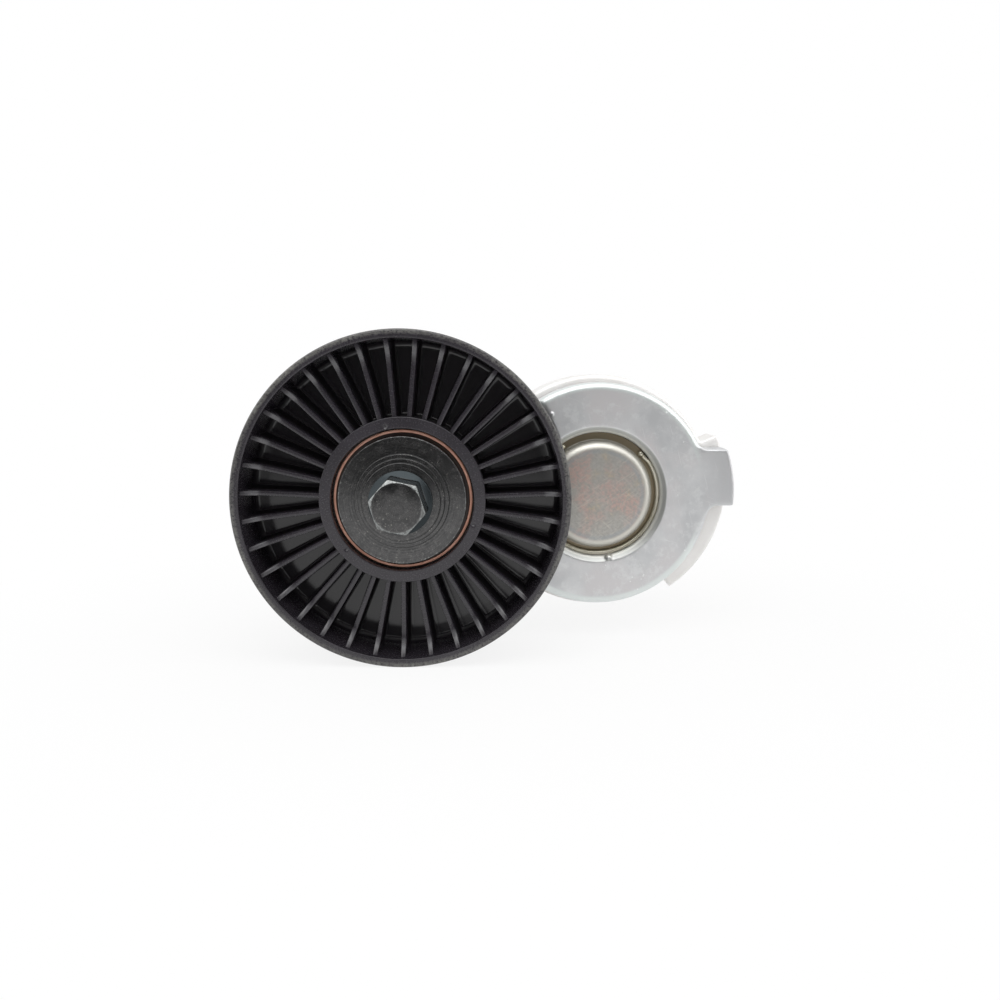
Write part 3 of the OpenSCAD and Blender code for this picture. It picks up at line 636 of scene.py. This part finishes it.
def make_seal():
    low = BEARING_FRONT + SEAL_T / 2
    top = low + SEAL_T
    middle = (SEAL_R - BEAD_R, BEAD_Z - BEAD_R)
    meet = 180 - math.degrees(math.asin((top - middle[1]) / BEAD_R))
    bead = [tuple(point) for point in arc(middle, BEAD_R, meet, 0, 14)]
    outline = [
        (SEAL_FOOT_R, BEARING_FRONT), (SEAL_FOOT_R, low), (SEAL_IN_R, low), (SEAL_IN_R, top),
        (SEAL_R - BEAD_R + BEAD_R * math.cos(math.radians(meet)), top), *bead, (SEAL_R, BEARING_FRONT),
    ]
    mesh = turned_mesh("seal_ring", WHEEL, outline)
    add_piece("seal_ring", mesh, "bearing_front_seal", "pulley", seal_rubber())


# Shields and bolt

HOLE_R = 4.15
SHIELD_BOSS_R = 11.05
SHIELD_T = 1.6
SHIELD_RISE = 3.1
SHIELD_EDGE = 0.2
STEP_COUNT = 3
STEP_W = 1.1
STEP_LAND = 1.85
STEP_RADII = [BOLT_FLANGE_R + STEP_LAND + i * STEP_W for i in range(STEP_COUNT)]
BOLT_FLAT = 6.5
BOLT_CORNER = 7.4
BOLT_TURN = math.radians(-12)
BOLT_SIDE = math.radians(60)
BOLT_CROWN_R = BOLT_FLAT - 0.2
BOLT_SHANK_R = 4.0
BOLT_LEAD = 1.0
CROWN_SLOPE = math.tan(math.radians(30))
FLANGE_EDGE = 1.2
FLANGE_SLOPE = math.tan(math.radians(25))

BLACK_TONES = rgb(0.062, 0.062, 0.063), rgb(0.108, 0.106, 0.106)
LATHE_TONE = rgb(0.145, 0.143, 0.143)
PIT_TONE = rgb(0.21, 0.21, 0.20)
SPECK_TONE = rgb(0.26, 0.255, 0.235)
# Painted shade on the sloped top of the bolt's flange
FLANGE_SHADE_TONE = rgb(0.030, 0.036, 0.039)
FLANGE_BAND = (SHIELD_TOP + 0.2, SHIELD_TOP + FLANGE_EDGE + 0.9)
# Painted shadow lines at the edges of the shield's steps
STEP_SHADOW_TONE = rgb(0.03, 0.031, 0.031)
STEP_SHADE = 0.2
BARE_TONE = rgb(0.28, 0.293, 0.288)
BARE_EDGE_R = (SHIELD_R - 0.3, SHIELD_R + 0.1)
BARE_CROWN_R = (BOLT_CROWN_R - 0.1, BOLT_CROWN_R + 0.1)
BARE_CROWN_Z = (BOLT_TOP - 2.0, BOLT_TOP - 1.2)
BAND_SOFT = 0.1


def blackened(name, ring_size, worn):
    """Turned black steel, rubbed in places, bare where the worn share is 1, painted shade on flange and
    steps.
    """
    m = Shader(name, Metallic=0.9)
    r = m.radius(WHEEL)
    rings = m.turned(WHEEL, ring_size)
    rubbed = m.noise(2.2, 5, 0.75)
    pits = m.noise(0.45, 4, 0.7)
    tone = m.mix(m.step(rubbed, 0.35, 0.7), *BLACK_TONES)
    tone = m.mix(m.step(rings, 0.4, 0.7, to_high=0.5), tone, LATHE_TONE)
    tone = m.mix(m.step(pits, 0.56, 0.7), tone, PIT_TONE)
    tone = m.mix(m.specks(1.1, 0.2, 0.48), tone, SPECK_TONE)
    # Painted shade on the bolt's flange
    tone = m.mix(m.band(m.height(), *FLANGE_BAND, BAND_SOFT), tone, FLANGE_SHADE_TONE)
    # Painted shadow lines at the shield's steps
    for step_r in STEP_RADII:
        tone = m.mix(m.band(r, step_r, step_r + STEP_SHADE, BAND_SOFT), tone, STEP_SHADOW_TONE)
    bare = m.both(worn(m), m.step(m.noise(1.1, 4, 0.75), 0.35, 0.62, to_low=0.2))
    m.set("Base Color", m.mix(bare, tone, BARE_TONE))
    m.set("Roughness", m.step(rubbed, 0.3, 0.7, to_low=0.20, to_high=0.29))
    m.set("Normal", m.bump(rings, 0.018, m.bump(pits, 0.012)))
    return m.material


def worn_rim(m):
    """Bare edge of the front shield."""
    edge = m.band(m.radius(WHEEL), *BARE_EDGE_R, BAND_SOFT)
    return m.both(edge, m.step(m.noise(0.9, 4, 0.8), 0.5, 0.6))


def worn_crown(m):
    """Bare chamfer round the bolt's head."""
    return m.both(m.step(m.radius(WHEEL), *BARE_CROWN_R), m.step(m.height(), *BARE_CROWN_Z))


def make_shields(material):
    edge = SHIELD_TOP - SHIELD_RISE
    disc = edge - SHIELD_T
    step_h = SHIELD_RISE / STEP_COUNT
    steps = []
    for i in reversed(range(STEP_COUNT)):
        low = SHIELD_TOP - (i + 1) * step_h
        steps += [(STEP_RADII[i], low, 0.15), (STEP_RADII[i], low + step_h, 0.2)]
    front = [
        (HOLE_R, BEARING_FRONT, 0.2), (SHIELD_BOSS_R, BEARING_FRONT, 0.2), (SHIELD_BOSS_R, disc, 0.2),
        (SHIELD_R, disc, 0.3), (SHIELD_R, edge, SHIELD_EDGE), *steps, (HOLE_R, SHIELD_TOP, 0.2),
    ]
    rear = [
        (HOLE_R, REAR_SHIELD_Z, 0.2), (SHIELD_R, REAR_SHIELD_Z, 0.25),
        (SHIELD_R, REAR_SHIELD_Z + SHIELD_T / 2, 0.25), (SHIELD_BOSS_R, REAR_SHIELD_Z + SHIELD_T / 2, 0.2),
        (SHIELD_BOSS_R, BEARING_REAR, 0.2), (HOLE_R, BEARING_REAR, 0.2),
    ]
    for name, node, corners in (
        ("front_shield_disc", "front_dust_shield", front),
        ("rear_shield_disc", "rear_dust_shield", rear),
    ):
        mesh = turned_mesh(name, WHEEL, rounded(corners))
        add_piece(name, mesh, node, "arm", material)


def flange_z(r):
    """Height of the sloped top of the bolt's flange."""
    return SHIELD_TOP + FLANGE_EDGE + (BOLT_FLANGE_R - r) * FLANGE_SLOPE


def crown_z(r):
    """Height of the chamfer round the bolt's head."""
    return BOLT_TOP - max(0.0, r - BOLT_CROWN_R) * CROWN_SLOPE


def bolt_line(angle):
    """Outline of the bolt at an angle from one of its corners, from the top of the head to the tip."""
    off = angle % BOLT_SIDE - BOLT_SIDE / 2
    flat = min(BOLT_FLAT / math.cos(off), BOLT_CORNER)
    crown = [(BOLT_CROWN_R + (flat - BOLT_CROWN_R) * s, s) for s in (0.15, 0.4, 0.7, 0.94)]
    foot = flange_z(flat)
    neck = crown_z(flat) - 0.12
    return [
        (0, BOLT_TOP), (0.5 * BOLT_CROWN_R, BOLT_TOP), (BOLT_CROWN_R - 0.15, BOLT_TOP),
        *[(r, crown_z(r) - 0.02 * s) for r, s in crown],
        *[(flat, neck + (foot + 0.3 - neck) * i / 6) for i in range(7)],
        (flat + 0.09, foot + 0.06), (flat + 0.3, flange_z(flat + 0.3)),
        (BOLT_FLANGE_R - 0.25, flange_z(BOLT_FLANGE_R - 0.25)),
        (BOLT_FLANGE_R - 0.06, flange_z(BOLT_FLANGE_R) - 0.02),
        (BOLT_FLANGE_R, flange_z(BOLT_FLANGE_R) - 0.2), (BOLT_FLANGE_R, SHIELD_TOP + 0.2),
        (BOLT_FLANGE_R - 0.15, SHIELD_TOP), (BOLT_SHANK_R, SHIELD_TOP), (BOLT_SHANK_R, BOLT_TIP + BOLT_LEAD),
        (BOLT_SHANK_R - BOLT_LEAD, BOLT_TIP), (0, BOLT_TIP),
    ]


def make_bolt(material):
    columns = [[(r, BOLT_TURN + t, z) for r, z in bolt_line(t)] for t in turns(144)]
    mesh = round_grid("flange_bolt", WHEEL, list(zip(*columns)), closed=False)
    add_piece("flange_bolt", mesh, "pulley_bolt", "arm", material)


# Castings

BORE_R = 18.4
BEVEL_R = 20.1
NUBS = [(-13.9, 23.85, FACE_Z, 0.8, 0.5)]
EASED_R = 26
EASED_LEFT = -30
EASED_DEPTH = 4

CAST_TONES = rgb(0.58, 0.588, 0.598), rgb(0.71, 0.715, 0.72)
WARM_TONE = rgb(0.67, 0.655, 0.66)
PALE_TONE = rgb(0.78, 0.79, 0.79)
TAB_TONE = rgb(0.54, 0.545, 0.555)
TAB_X = (27, 38)
# Painted highlight along the outer edge of the ring
EDGE_HIGHLIGHT_TONE = rgb(0.72, 0.755, 0.745)
EDGE_R = (30.3, 31.2)
EDGE_X = (-20, 29)
EDGE_SOFT = 1.5
EDGE_Z = (FACE_Z - 3.5, FACE_Z - 2.0)
NICK_TONE = rgb(0.86, 0.87, 0.87)
# Painted highlight on the bevel's inner edge and painted shade on its outer part
BEVEL_LIT_AND_SHADED_TONES = rgb(0.68, 0.685, 0.65), rgb(0.50, 0.51, 0.495)
BEVEL_FADE = (BORE_R + 0.5, BORE_R + 0.9)
BEVEL_END_R = (BEVEL_R + 0.15, BEVEL_R - 0.05)
BEVEL_Z = (FACE_Z - 2.0, FACE_Z - 1.6)
BEVEL_ROUGHNESS = 0.42
WITNESS_ANGLE = -58.3
WITNESS_HALF = (0.22, 0.04)
WITNESS_SPAN = (21.5, 28.6)
WITNESS_SOFT = 0.3
CASE_TONES = rgb(0.80, 0.785, 0.765), rgb(0.87, 0.86, 0.845)


def cast_aluminium():
    """Die-cast arm: fine grain, few specks and scratches, a painted edge highlight, a machined bevel painted
    lit and shaded.
    """
    m = Shader("cast_aluminium", Metallic=0.8)
    r = m.radius(PIVOT)
    flow = m.noise(11, 4, 0.6)
    grain = m.noise(0.5, 3, 0.6)
    specks = m.specks(2.3, 0.3, 0.45)
    lines = m.math("MAXIMUM", m.scratches(7, 0.16, 20, 0.72), m.scratches(9, 0.14, 75, 0.73))
    tone = m.mix(m.step(flow, 0.3, 0.7), *CAST_TONES)
    tone = m.mix(m.step(m.noise(17, 3), 0.45, 0.65), tone, WARM_TONE)
    tone = m.mix(m.step(m.noise(3.2, 4, 0.7), 0.5, 0.68, to_high=0.55), tone, PALE_TONE)
    tone = m.mix(m.step(m.along(0), *TAB_X, to_high=0.8), tone, TAB_TONE)
    edge = m.both(m.step(r, *EDGE_R), m.band(m.along(0), *EDGE_X, EDGE_SOFT), m.step(m.height(), *EDGE_Z))
    # Painted highlight along the ring's outer edge
    tone = m.mix(edge, tone, EDGE_HIGHLIGHT_TONE)
    tone = m.mix(m.math("MAXIMUM", specks, m.math("MULTIPLY", lines, 0.6)), tone, NICK_TONE)
    machined = m.both(m.step(r, *BEVEL_END_R), m.step(m.height(), *BEVEL_Z))
    # Painted highlight and shade on the machined bevel
    bevel = m.mix(m.step(r, *BEVEL_FADE), *BEVEL_LIT_AND_SHADED_TONES)
    m.set("Base Color", m.mix(machined, tone, bevel))
    rough = m.step(grain, 0.25, 0.75, to_low=0.38, to_high=0.50)
    m.set("Roughness", m.blend(machined, rough, BEVEL_ROUGHNESS))
    ridge = m.both(
        m.step(m.math("ABSOLUTE", m.along(WITNESS_ANGLE + 90)), *WITNESS_HALF),
        m.band(m.along(WITNESS_ANGLE), *WITNESS_SPAN, WITNESS_SOFT),
    )
    m.set("Normal", m.bump(ridge, 0.05, m.bump(specks, 0.04, m.bump(flow, 0.02, m.bump(grain, 0.014)))))
    return m.material


def case_aluminium():
    """Pale, dull casting of the spring case."""
    m = Shader("case_aluminium", Metallic=0.35)
    flow = m.noise(12, 4, 0.6)
    grain = m.noise(0.6, 3, 0.6)
    m.set("Base Color", m.mix(m.step(flow, 0.3, 0.7), *CASE_TONES))
    m.set("Roughness", m.step(grain, 0.25, 0.75, to_low=0.45, to_high=0.60))
    m.set("Normal", m.bump(flow, 0.04, m.bump(grain, 0.02)))
    return m.material


def raise_spots(mesh, spots):
    """Lifts small round spots, by place, size and lift, of a face that looks at the viewer."""
    for vertex in mesh.vertices:
        x, y, z = vertex.co.x / MM, vertex.co.z / MM, -vertex.co.y / MM
        for at_x, at_y, at_z, size, lift in spots:
            away = math.hypot(x - at_x, y - at_y)
            if away < size and abs(z - at_z) < size:
                vertex.co.y -= MM * lift * (0.5 + 0.5 * math.cos(math.pi * away / size))


def on_ring_edge(at):
    """Whether a point of the arm is near the outer edge of its ring or tab, towards the viewer."""
    far = math.hypot(at.x, at.z) > EASED_R * MM
    return far and at.x > EASED_LEFT * MM and -at.y > (FACE_Z - EASED_DEPTH) * MM


def make_castings():
    arm = eased(softened("tensioner_arm", voxel=0.32, passes=5), on_ring_edge, passes=26)
    raise_spots(arm, NUBS)
    arm = thinned(arm, ratio=0.4)
    add_piece("cast_arm", arm, "tensioner_arm", "arm", cast_aluminium())
    case = thinned(softened("base_housing", voxel=0.4, passes=16), ratio=0.4)
    add_piece("cast_case", case, "base_housing", "base", case_aluminium())


# Cap and its retaining ring

CAP_T = 1.0
CAP_WALL_R = CAP_R - 2.4
CAP_ROUND = 2.8
CLIP_R = 18.0
CLIP_WIRE = 0.75
CLIP_BEAD = 0.9
CLIP_BEAD_R = CAP_R - CLIP_BEAD
CLIP_START = math.radians(127)
CLIP_ARC = math.radians(276)
CLIP_LEAD = math.radians(0.8)
CLIP_STEPS = 120
CLIP_RAMP = 4
BALL_STEPS = 10

ZINC_TONES = rgb(0.44, 0.43, 0.405), rgb(0.53, 0.385, 0.345)
GOLD_TONE = rgb(0.50, 0.42, 0.29)
FLECK_DARK = rgb(0.385, 0.37, 0.345)
FLECK_PALE = rgb(0.56, 0.52, 0.475)
# Painted reflection: a bluish-grey ring where the cap's face turns into its shoulder
RING_REFLECTION_TONE = rgb(0.36, 0.385, 0.40)
RING_REFLECTION_R = (12.4, 13.4)
RING_REFLECTION_SOFT = 0.5
LINE_TONE = rgb(0.66, 0.63, 0.55)
# Painted highlight: a paler tone on the cap's rounded shoulder
SHOULDER_HIGHLIGHT_TONE = rgb(0.60, 0.585, 0.535)
SHOULDER_R = (13.2, 14.2)
# Painted shade: a dark brown tone on the flange in the groove round the cap
GROOVE_SHADE_TONE = rgb(0.24, 0.20, 0.135)
GROOVE_R = (CAP_WALL_R + 0.05, CAP_WALL_R + 0.5)
WIRE_TONES = rgb(0.60, 0.57, 0.45), rgb(0.68, 0.65, 0.55)


def yellow_zinc():
    """Zinc with a yellow chromate film: mottled pink, green and gold, scratched; painted highlights, painted
    shade in the groove.
    """
    m = Shader("yellow_zinc", Metallic=0.75)
    r = m.radius(PIVOT)
    fleck = m.noise(0.7, 5, 0.75)
    cloud = m.noise(8, 4, 0.65)
    tone = m.mix(m.step(cloud, 0.4, 0.6), *ZINC_TONES)
    tone = m.mix(m.step(m.noise(7, 3), 0.55, 0.7), tone, GOLD_TONE)
    tone = m.mix(m.step(fleck, 0.42, 0.62), tone, FLECK_DARK)
    tone = m.mix(m.step(fleck, 0.40, 0.28), tone, FLECK_PALE)
    # Painted reflection ring inside the shoulder
    tone = m.mix(m.math("MULTIPLY", m.band(r, *RING_REFLECTION_R, RING_REFLECTION_SOFT), 0.6), tone, RING_REFLECTION_TONE)
    lines = m.math("MAXIMUM", m.scratches(5, 0.2, 40, 0.62), m.scratches(4, 0.2, -35, 0.63))
    tone = m.mix(m.math("MULTIPLY", lines, 0.35), tone, LINE_TONE)
    # Painted highlight on the cap's shoulder
    tone = m.mix(m.step(r, *SHOULDER_R), tone, SHOULDER_HIGHLIGHT_TONE)
    # Painted shade in the groove round the cap
    m.set("Base Color", m.mix(m.step(r, *GROOVE_R), tone, GROOVE_SHADE_TONE))
    m.set("Roughness", m.step(fleck, 0.3, 0.7, to_low=0.36, to_high=0.50))
    m.set("Normal", m.bump(m.noise(3, 3), 0.012, m.bump(fleck, 0.006)))
    return m.material


def wire_zinc():
    """Greenish gold film on the retaining ring's wire."""
    m = Shader("wire_zinc", Metallic=1.0)
    m.set("Base Color", m.mix(m.step(m.noise(2.5, 3), 0.35, 0.65), *WIRE_TONES))
    m.set("Roughness", m.step(m.noise(0.5, 3), 0.3, 0.7, to_low=0.34, to_high=0.42))
    m.set("Normal", m.bump(m.noise(2.5, 2), 0.006))
    return m.material


def make_cap():
    inside = CAP_WALL_R - CAP_T
    under = FACE_Z - CAP_T
    outline = rounded([
        (0, FACE_Z, 0), (CAP_WALL_R, FACE_Z, CAP_ROUND), (CAP_WALL_R, CAP_FLOOR + CAP_T, 0.35),
        (CAP_R, CAP_FLOOR + CAP_T, 0.2), (CAP_R, CAP_FLOOR, 0.2), (inside, CAP_FLOOR, 0.2),
        (inside, under, CAP_ROUND - CAP_T), (0, under, 0),
    ], steps=8)
    mesh = turned_mesh("zinc_cap", PIVOT, outline, closed=False)
    add_piece("zinc_cap", mesh, "pivot_cap", "arm", yellow_zinc())


def make_clip():
    height = CAP_FLOOR + CAP_T + CLIP_WIRE
    bead_z = height + CLIP_BEAD - CLIP_WIRE
    ball = []
    for i in range(BALL_STEPS - 1):
        t = math.pi * i / BALL_STEPS
        ball.append((-CLIP_BEAD * math.cos(t) / CLIP_BEAD_R, CLIP_BEAD_R, bead_z, CLIP_BEAD * math.sin(t)))
    lead = ball[-1][0] + CLIP_LEAD
    wire = []
    for i in range(CLIP_STEPS + 1):
        ramp = min(1, i / CLIP_RAMP, (CLIP_STEPS - i) / CLIP_RAMP)
        ease = 0.5 - 0.5 * math.cos(math.pi * ramp)
        wire.append((
            lead + (CLIP_ARC - 2 * lead) * i / CLIP_STEPS,
            CLIP_BEAD_R + (CLIP_R - CLIP_BEAD_R) * ease,
            bead_z + (height - bead_z) * ease,
            CLIP_WIRE,
        ))
    end = [(CLIP_ARC - angle, r, z, size) for angle, r, z, size in reversed(ball)]
    stations = [(CLIP_START + angle, r, z, size) for angle, r, z, size in ball + wire + end]
    mesh = coil("wire_ring", stations, climb=0)
    add_piece("wire_ring", mesh, "cap_retaining_ring", "arm", wire_zinc())


# Spring and shaft of the base

WIRE_R = 2.2
SPRING_TURNS = 3.5
SPRING_STEPS = 168
THREAD_R = 4.25
THREAD_DEPTH = 0.68
THREAD_PITCH = 1.5
THREAD_FLANK = 2.4
THREAD_CREST = 0.1
THREAD_MOUTH = 1.2
THREAD_END = 19.5
THREAD_STEPS = 130
DRILL_END = 22.0
DRILL_EDGE = 0.4
TENON_R = 5.5
RIVET_R = 7.5


def make_spring(material):
    low, high = SPRING_LOW + WIRE_R, SPRING_HIGH - WIRE_R
    sweep = 2 * math.pi * SPRING_TURNS
    path = []
    for i in range(SPRING_STEPS + 1):
        path.append((sweep * i / SPRING_STEPS, SPRING_R - WIRE_R, low + (high - low) * i / SPRING_STEPS))
    stations = [(*path[0], 0)] + [(*at, WIRE_R) for at in path] + [(*path[-1], 0)]
    mesh = coil("spring_coil", stations, climb=(high - low) / sweep, sides=20)
    add_piece("spring_coil", mesh, "torsion_spring", "base", material)


def thread_r(z, angle):
    """Radius of the mounting thread, which starts at the mouth and runs out before the drilled end."""
    phase = (z / THREAD_PITCH - angle / (2 * math.pi)) % 1.0
    groove = max(0.0, min(1.0, THREAD_FLANK * (0.5 - abs(phase - 0.5)) - THREAD_CREST))
    fade = min(1.0, max(0.0, (THREAD_END - z) / THREAD_PITCH))
    return THREAD_R + THREAD_DEPTH * groove * fade


def make_shaft(material):
    outline = rounded([
        (0, SHAFT_TOP, 0), (RIVET_R - 0.9, SHAFT_TOP, 0.5), (RIVET_R, PLATE_TOP, 0.3),
        (TENON_R, PLATE_TOP, 0.1), (TENON_R, PLATE_Z, 0.1), (SHAFT_R, PLATE_Z, 0.3), (SHAFT_R, 0, 0.5),
        (THREAD_R + THREAD_MOUTH, 0, 0.1), (THREAD_R + 0.1, THREAD_MOUTH - 0.1, 0),
    ])
    drilled = [(THREAD_R, DRILL_END - DRILL_EDGE), (THREAD_R - DRILL_EDGE, DRILL_END), (0, DRILL_END)]
    length = THREAD_END - THREAD_MOUTH
    heights = [THREAD_MOUTH + length * i / THREAD_STEPS for i in range(THREAD_STEPS + 1)]
    around = turns(96)
    rows = [[(r, a, z) for a in around] for r, z in outline]
    rows += [[(thread_r(z, a), a, z) for a in around] for z in heights]
    rows += [[(r, a, z) for a in around] for r, z in drilled]
    mesh = round_grid("threaded_shaft", PIVOT, rows, closed=False)
    add_piece("threaded_shaft", mesh, "pivot_shaft", "base", material)


# Plain finishes

BLOTCH_RATIO = 12
GRAIN_SPREAD = 0.15
GRAIN_DEPTH = 0.05


def grained(name, light, dark, grain_size, **sockets):
    """Two close tones in blotches, with a fine grain in the surface."""
    m = Shader(name, **sockets)
    blotch = m.noise(grain_size * BLOTCH_RATIO, 3)
    grain = m.noise(grain_size, 3)
    rough = m.surface.inputs["Roughness"].default_value
    m.set("Base Color", m.mix(m.step(blotch, 0.35, 0.65), rgb(*dark), rgb(*light)))
    m.set("Roughness", m.step(grain, 0.3, 0.7, rough * (1 - GRAIN_SPREAD), rough * (1 + GRAIN_SPREAD)))
    m.set("Normal", m.bump(grain, grain_size * GRAIN_DEPTH))
    return m.material


# Floor and light, in metres apart from the middle

MIDDLE_X = -30
MIDDLE_Z = 40
FLOOR_SIZE = 4.0
FLOOR_SHARE = 0.85
SHADOW_REACH = (0.06, 0.20)
CARD_Y = -0.52
CARD_HALF = 0.8
CARD_TOP = 0.36
FILL_STRENGTH = 0.45


def add_stage(name, corners, material):
    """Links a flat part of the surroundings."""
    mesh = bpy.data.meshes.new(name)
    mesh.from_pydata(corners, [], [(0, 1, 2, 3)])
    mesh.materials.append(material)
    thing = link_new(name, mesh)
    return thing


def background_rays(tree):
    """1 for the rays that see the background: straight, reflected or through glass."""
    path = tree.nodes.new("ShaderNodeLightPath")
    total = path.outputs["Is Camera Ray"]
    for kind in ("Is Glossy Ray", "Is Transmission Ray"):
        node = tree.nodes.new("ShaderNodeMath")
        node.operation = "MAXIMUM"
        tree.links.new(total, node.inputs[0])
        tree.links.new(path.outputs[kind], node.inputs[1])
        total = node.outputs[0]
    return total


def make_floor():
    """Pale floor that shows white to the camera and keeps the shadow near the object."""
    m = Shader("floor", Base_Color=rgb(0.9, 0.9, 0.9), Roughness=0.9)
    middle = place(MIDDLE_X, FLOOR_Z, MIDDLE_Z)
    away = m.add("VectorMath", {0: m.coords, 1: middle}, operation="DISTANCE").outputs["Value"]
    share = m.both(background_rays(m.tree), m.step(away, *SHADOW_REACH, to_low=FLOOR_SHARE))
    glow = m.add("Emission", {"Strength": 1.0}).outputs[0]
    mixed = m.add("MixShader", {0: share, 1: m.surface.outputs[0], 2: glow}).outputs[0]
    m.tree.links.new(mixed, m.tree.nodes["Material Output"].inputs["Surface"])
    low, high = -FLOOR_SIZE, FLOOR_SIZE
    corners = [(low, low), (high, low), (high, high), (low, high)]
    add_stage("floor", [(x, y, FLOOR_Z * MM) for x, y in corners], m.material)


def make_card():
    """Dark card behind the camera, which metal facing the viewer reflects above the pale floor."""
    m = Shader("card", Base_Color=rgb(0.03, 0.03, 0.03), Roughness=0.9)
    low = FLOOR_Z * MM
    corners = [(-CARD_HALF, low), (CARD_HALF, low), (CARD_HALF, CARD_TOP), (-CARD_HALF, CARD_TOP)]
    card = add_stage("card", [(x, CARD_Y, z) for x, z in corners], m.material)
    card.visible_camera = False


def make_world():
    world = bpy.data.worlds.new("studio")
    world.use_nodes = True
    tree = world.node_tree
    backdrop = tree.nodes["Background"]
    backdrop.inputs["Color"].default_value = rgb(1, 1, 1)
    fill = tree.nodes.new("ShaderNodeBackground")
    fill.inputs["Color"].default_value = rgb(1, 1, 1)
    fill.inputs["Strength"].default_value = FILL_STRENGTH
    mix = tree.nodes.new("ShaderNodeMixShader")
    tree.links.new(background_rays(tree), mix.inputs["Fac"])
    tree.links.new(fill.outputs[0], mix.inputs[1])
    tree.links.new(backdrop.outputs[0], mix.inputs[2])
    tree.links.new(mix.outputs[0], tree.nodes["World Output"].inputs["Surface"])
    bpy.context.scene.world = world


def add_lamp(name, location, size, power, mirrored=True):
    """Round soft lamp. A lamp that isn't mirrored lights matt surfaces and shows in no reflection."""
    data = bpy.data.lights.new(name, "AREA")
    data.shape = "DISK"
    data.size = size
    data.energy = power
    lamp = link_new(name, data)
    aim(lamp, location, place(MIDDLE_X, 0, MIDDLE_Z))
    lamp.visible_glossy = mirrored


def make_lamps():
    add_lamp("key", (-0.05, -0.45, 0.56), size=0.9, power=3.8)
    add_lamp("fill_left", (-0.70, -0.25, 0.30), size=0.9, power=2.0)
    add_lamp("fill_right", (0.65, -0.20, 0.35), size=0.9, power=2.0)
    add_lamp("front", (-0.03, -0.50, 0.04), size=0.35, power=0.8, mirrored=False)


# Everything together

make_camera()
make_world()
make_floor()
make_card()
make_lamps()

PLAIN_STEEL = grained(
    "plain_steel", (0.56, 0.56, 0.57), (0.47, 0.47, 0.48), 0.4, Metallic=1.0, Roughness=0.32,
)
SPRING_STEEL = grained(
    "spring_steel", (0.20, 0.21, 0.23), (0.13, 0.14, 0.15), 0.5, Metallic=0.9, Roughness=0.4,
)
BEARING_STEEL = grained(
    "bearing_steel", (0.66, 0.66, 0.67), (0.60, 0.60, 0.61), 0.3, Metallic=1.0, Roughness=0.18,
)
CAGE_PLASTIC = grained("cage_plastic", (0.62, 0.55, 0.42), (0.56, 0.49, 0.36), 0.3, Roughness=0.5)
DARK_PLASTIC = grained("dark_plastic", (0.035, 0.035, 0.036), (0.022, 0.022, 0.023), 0.3, Roughness=0.5)
LINING = grained("lining", (0.22, 0.13, 0.08), (0.12, 0.07, 0.045), 0.5, Roughness=0.85)
OUTER_RING = grained(
    "outer_ring", (0.06, 0.05, 0.045), (0.04, 0.034, 0.03), 0.3, Metallic=0.6, Roughness=0.5,
)
SEAL = grained("seal", (0.10, 0.05, 0.035), (0.07, 0.035, 0.025), 0.3, Roughness=0.42)

make_pulley()
make_seal()
make_shields(blackened("shield_steel", 0.4, worn_rim))
make_bolt(blackened("bolt_steel", 1.6, worn_crown))
make_castings()
make_cap()
make_clip()
make_spring(SPRING_STEEL)
make_shaft(PLAIN_STEEL)

FINISHES = {
    "locating_pin": PLAIN_STEEL,
    "retaining_plate": PLAIN_STEEL,
    "bearing_sleeve": PLAIN_STEEL,
    "bearing_inner_ring": BEARING_STEEL,
    "bearing_outer_ring": OUTER_RING,
    "bearing_balls": BEARING_STEEL,
    "bearing_cage": CAGE_PLASTIC,
    "pivot_bushing": CAGE_PLASTIC,
    "rear_thrust_washer": CAGE_PLASTIC,
    "front_thrust_washer": CAGE_PLASTIC,
    "spring_seat": DARK_PLASTIC,
    "damper_shoe": DARK_PLASTIC,
    "friction_lining": LINING,
    "bearing_rear_seal": SEAL,
}
for name, material in FINISHES.items():
    for material_slot in nodes[name].material_slots:
        material_slot.material = material

bpy.context.scene.view_settings.view_transform = "Standard"
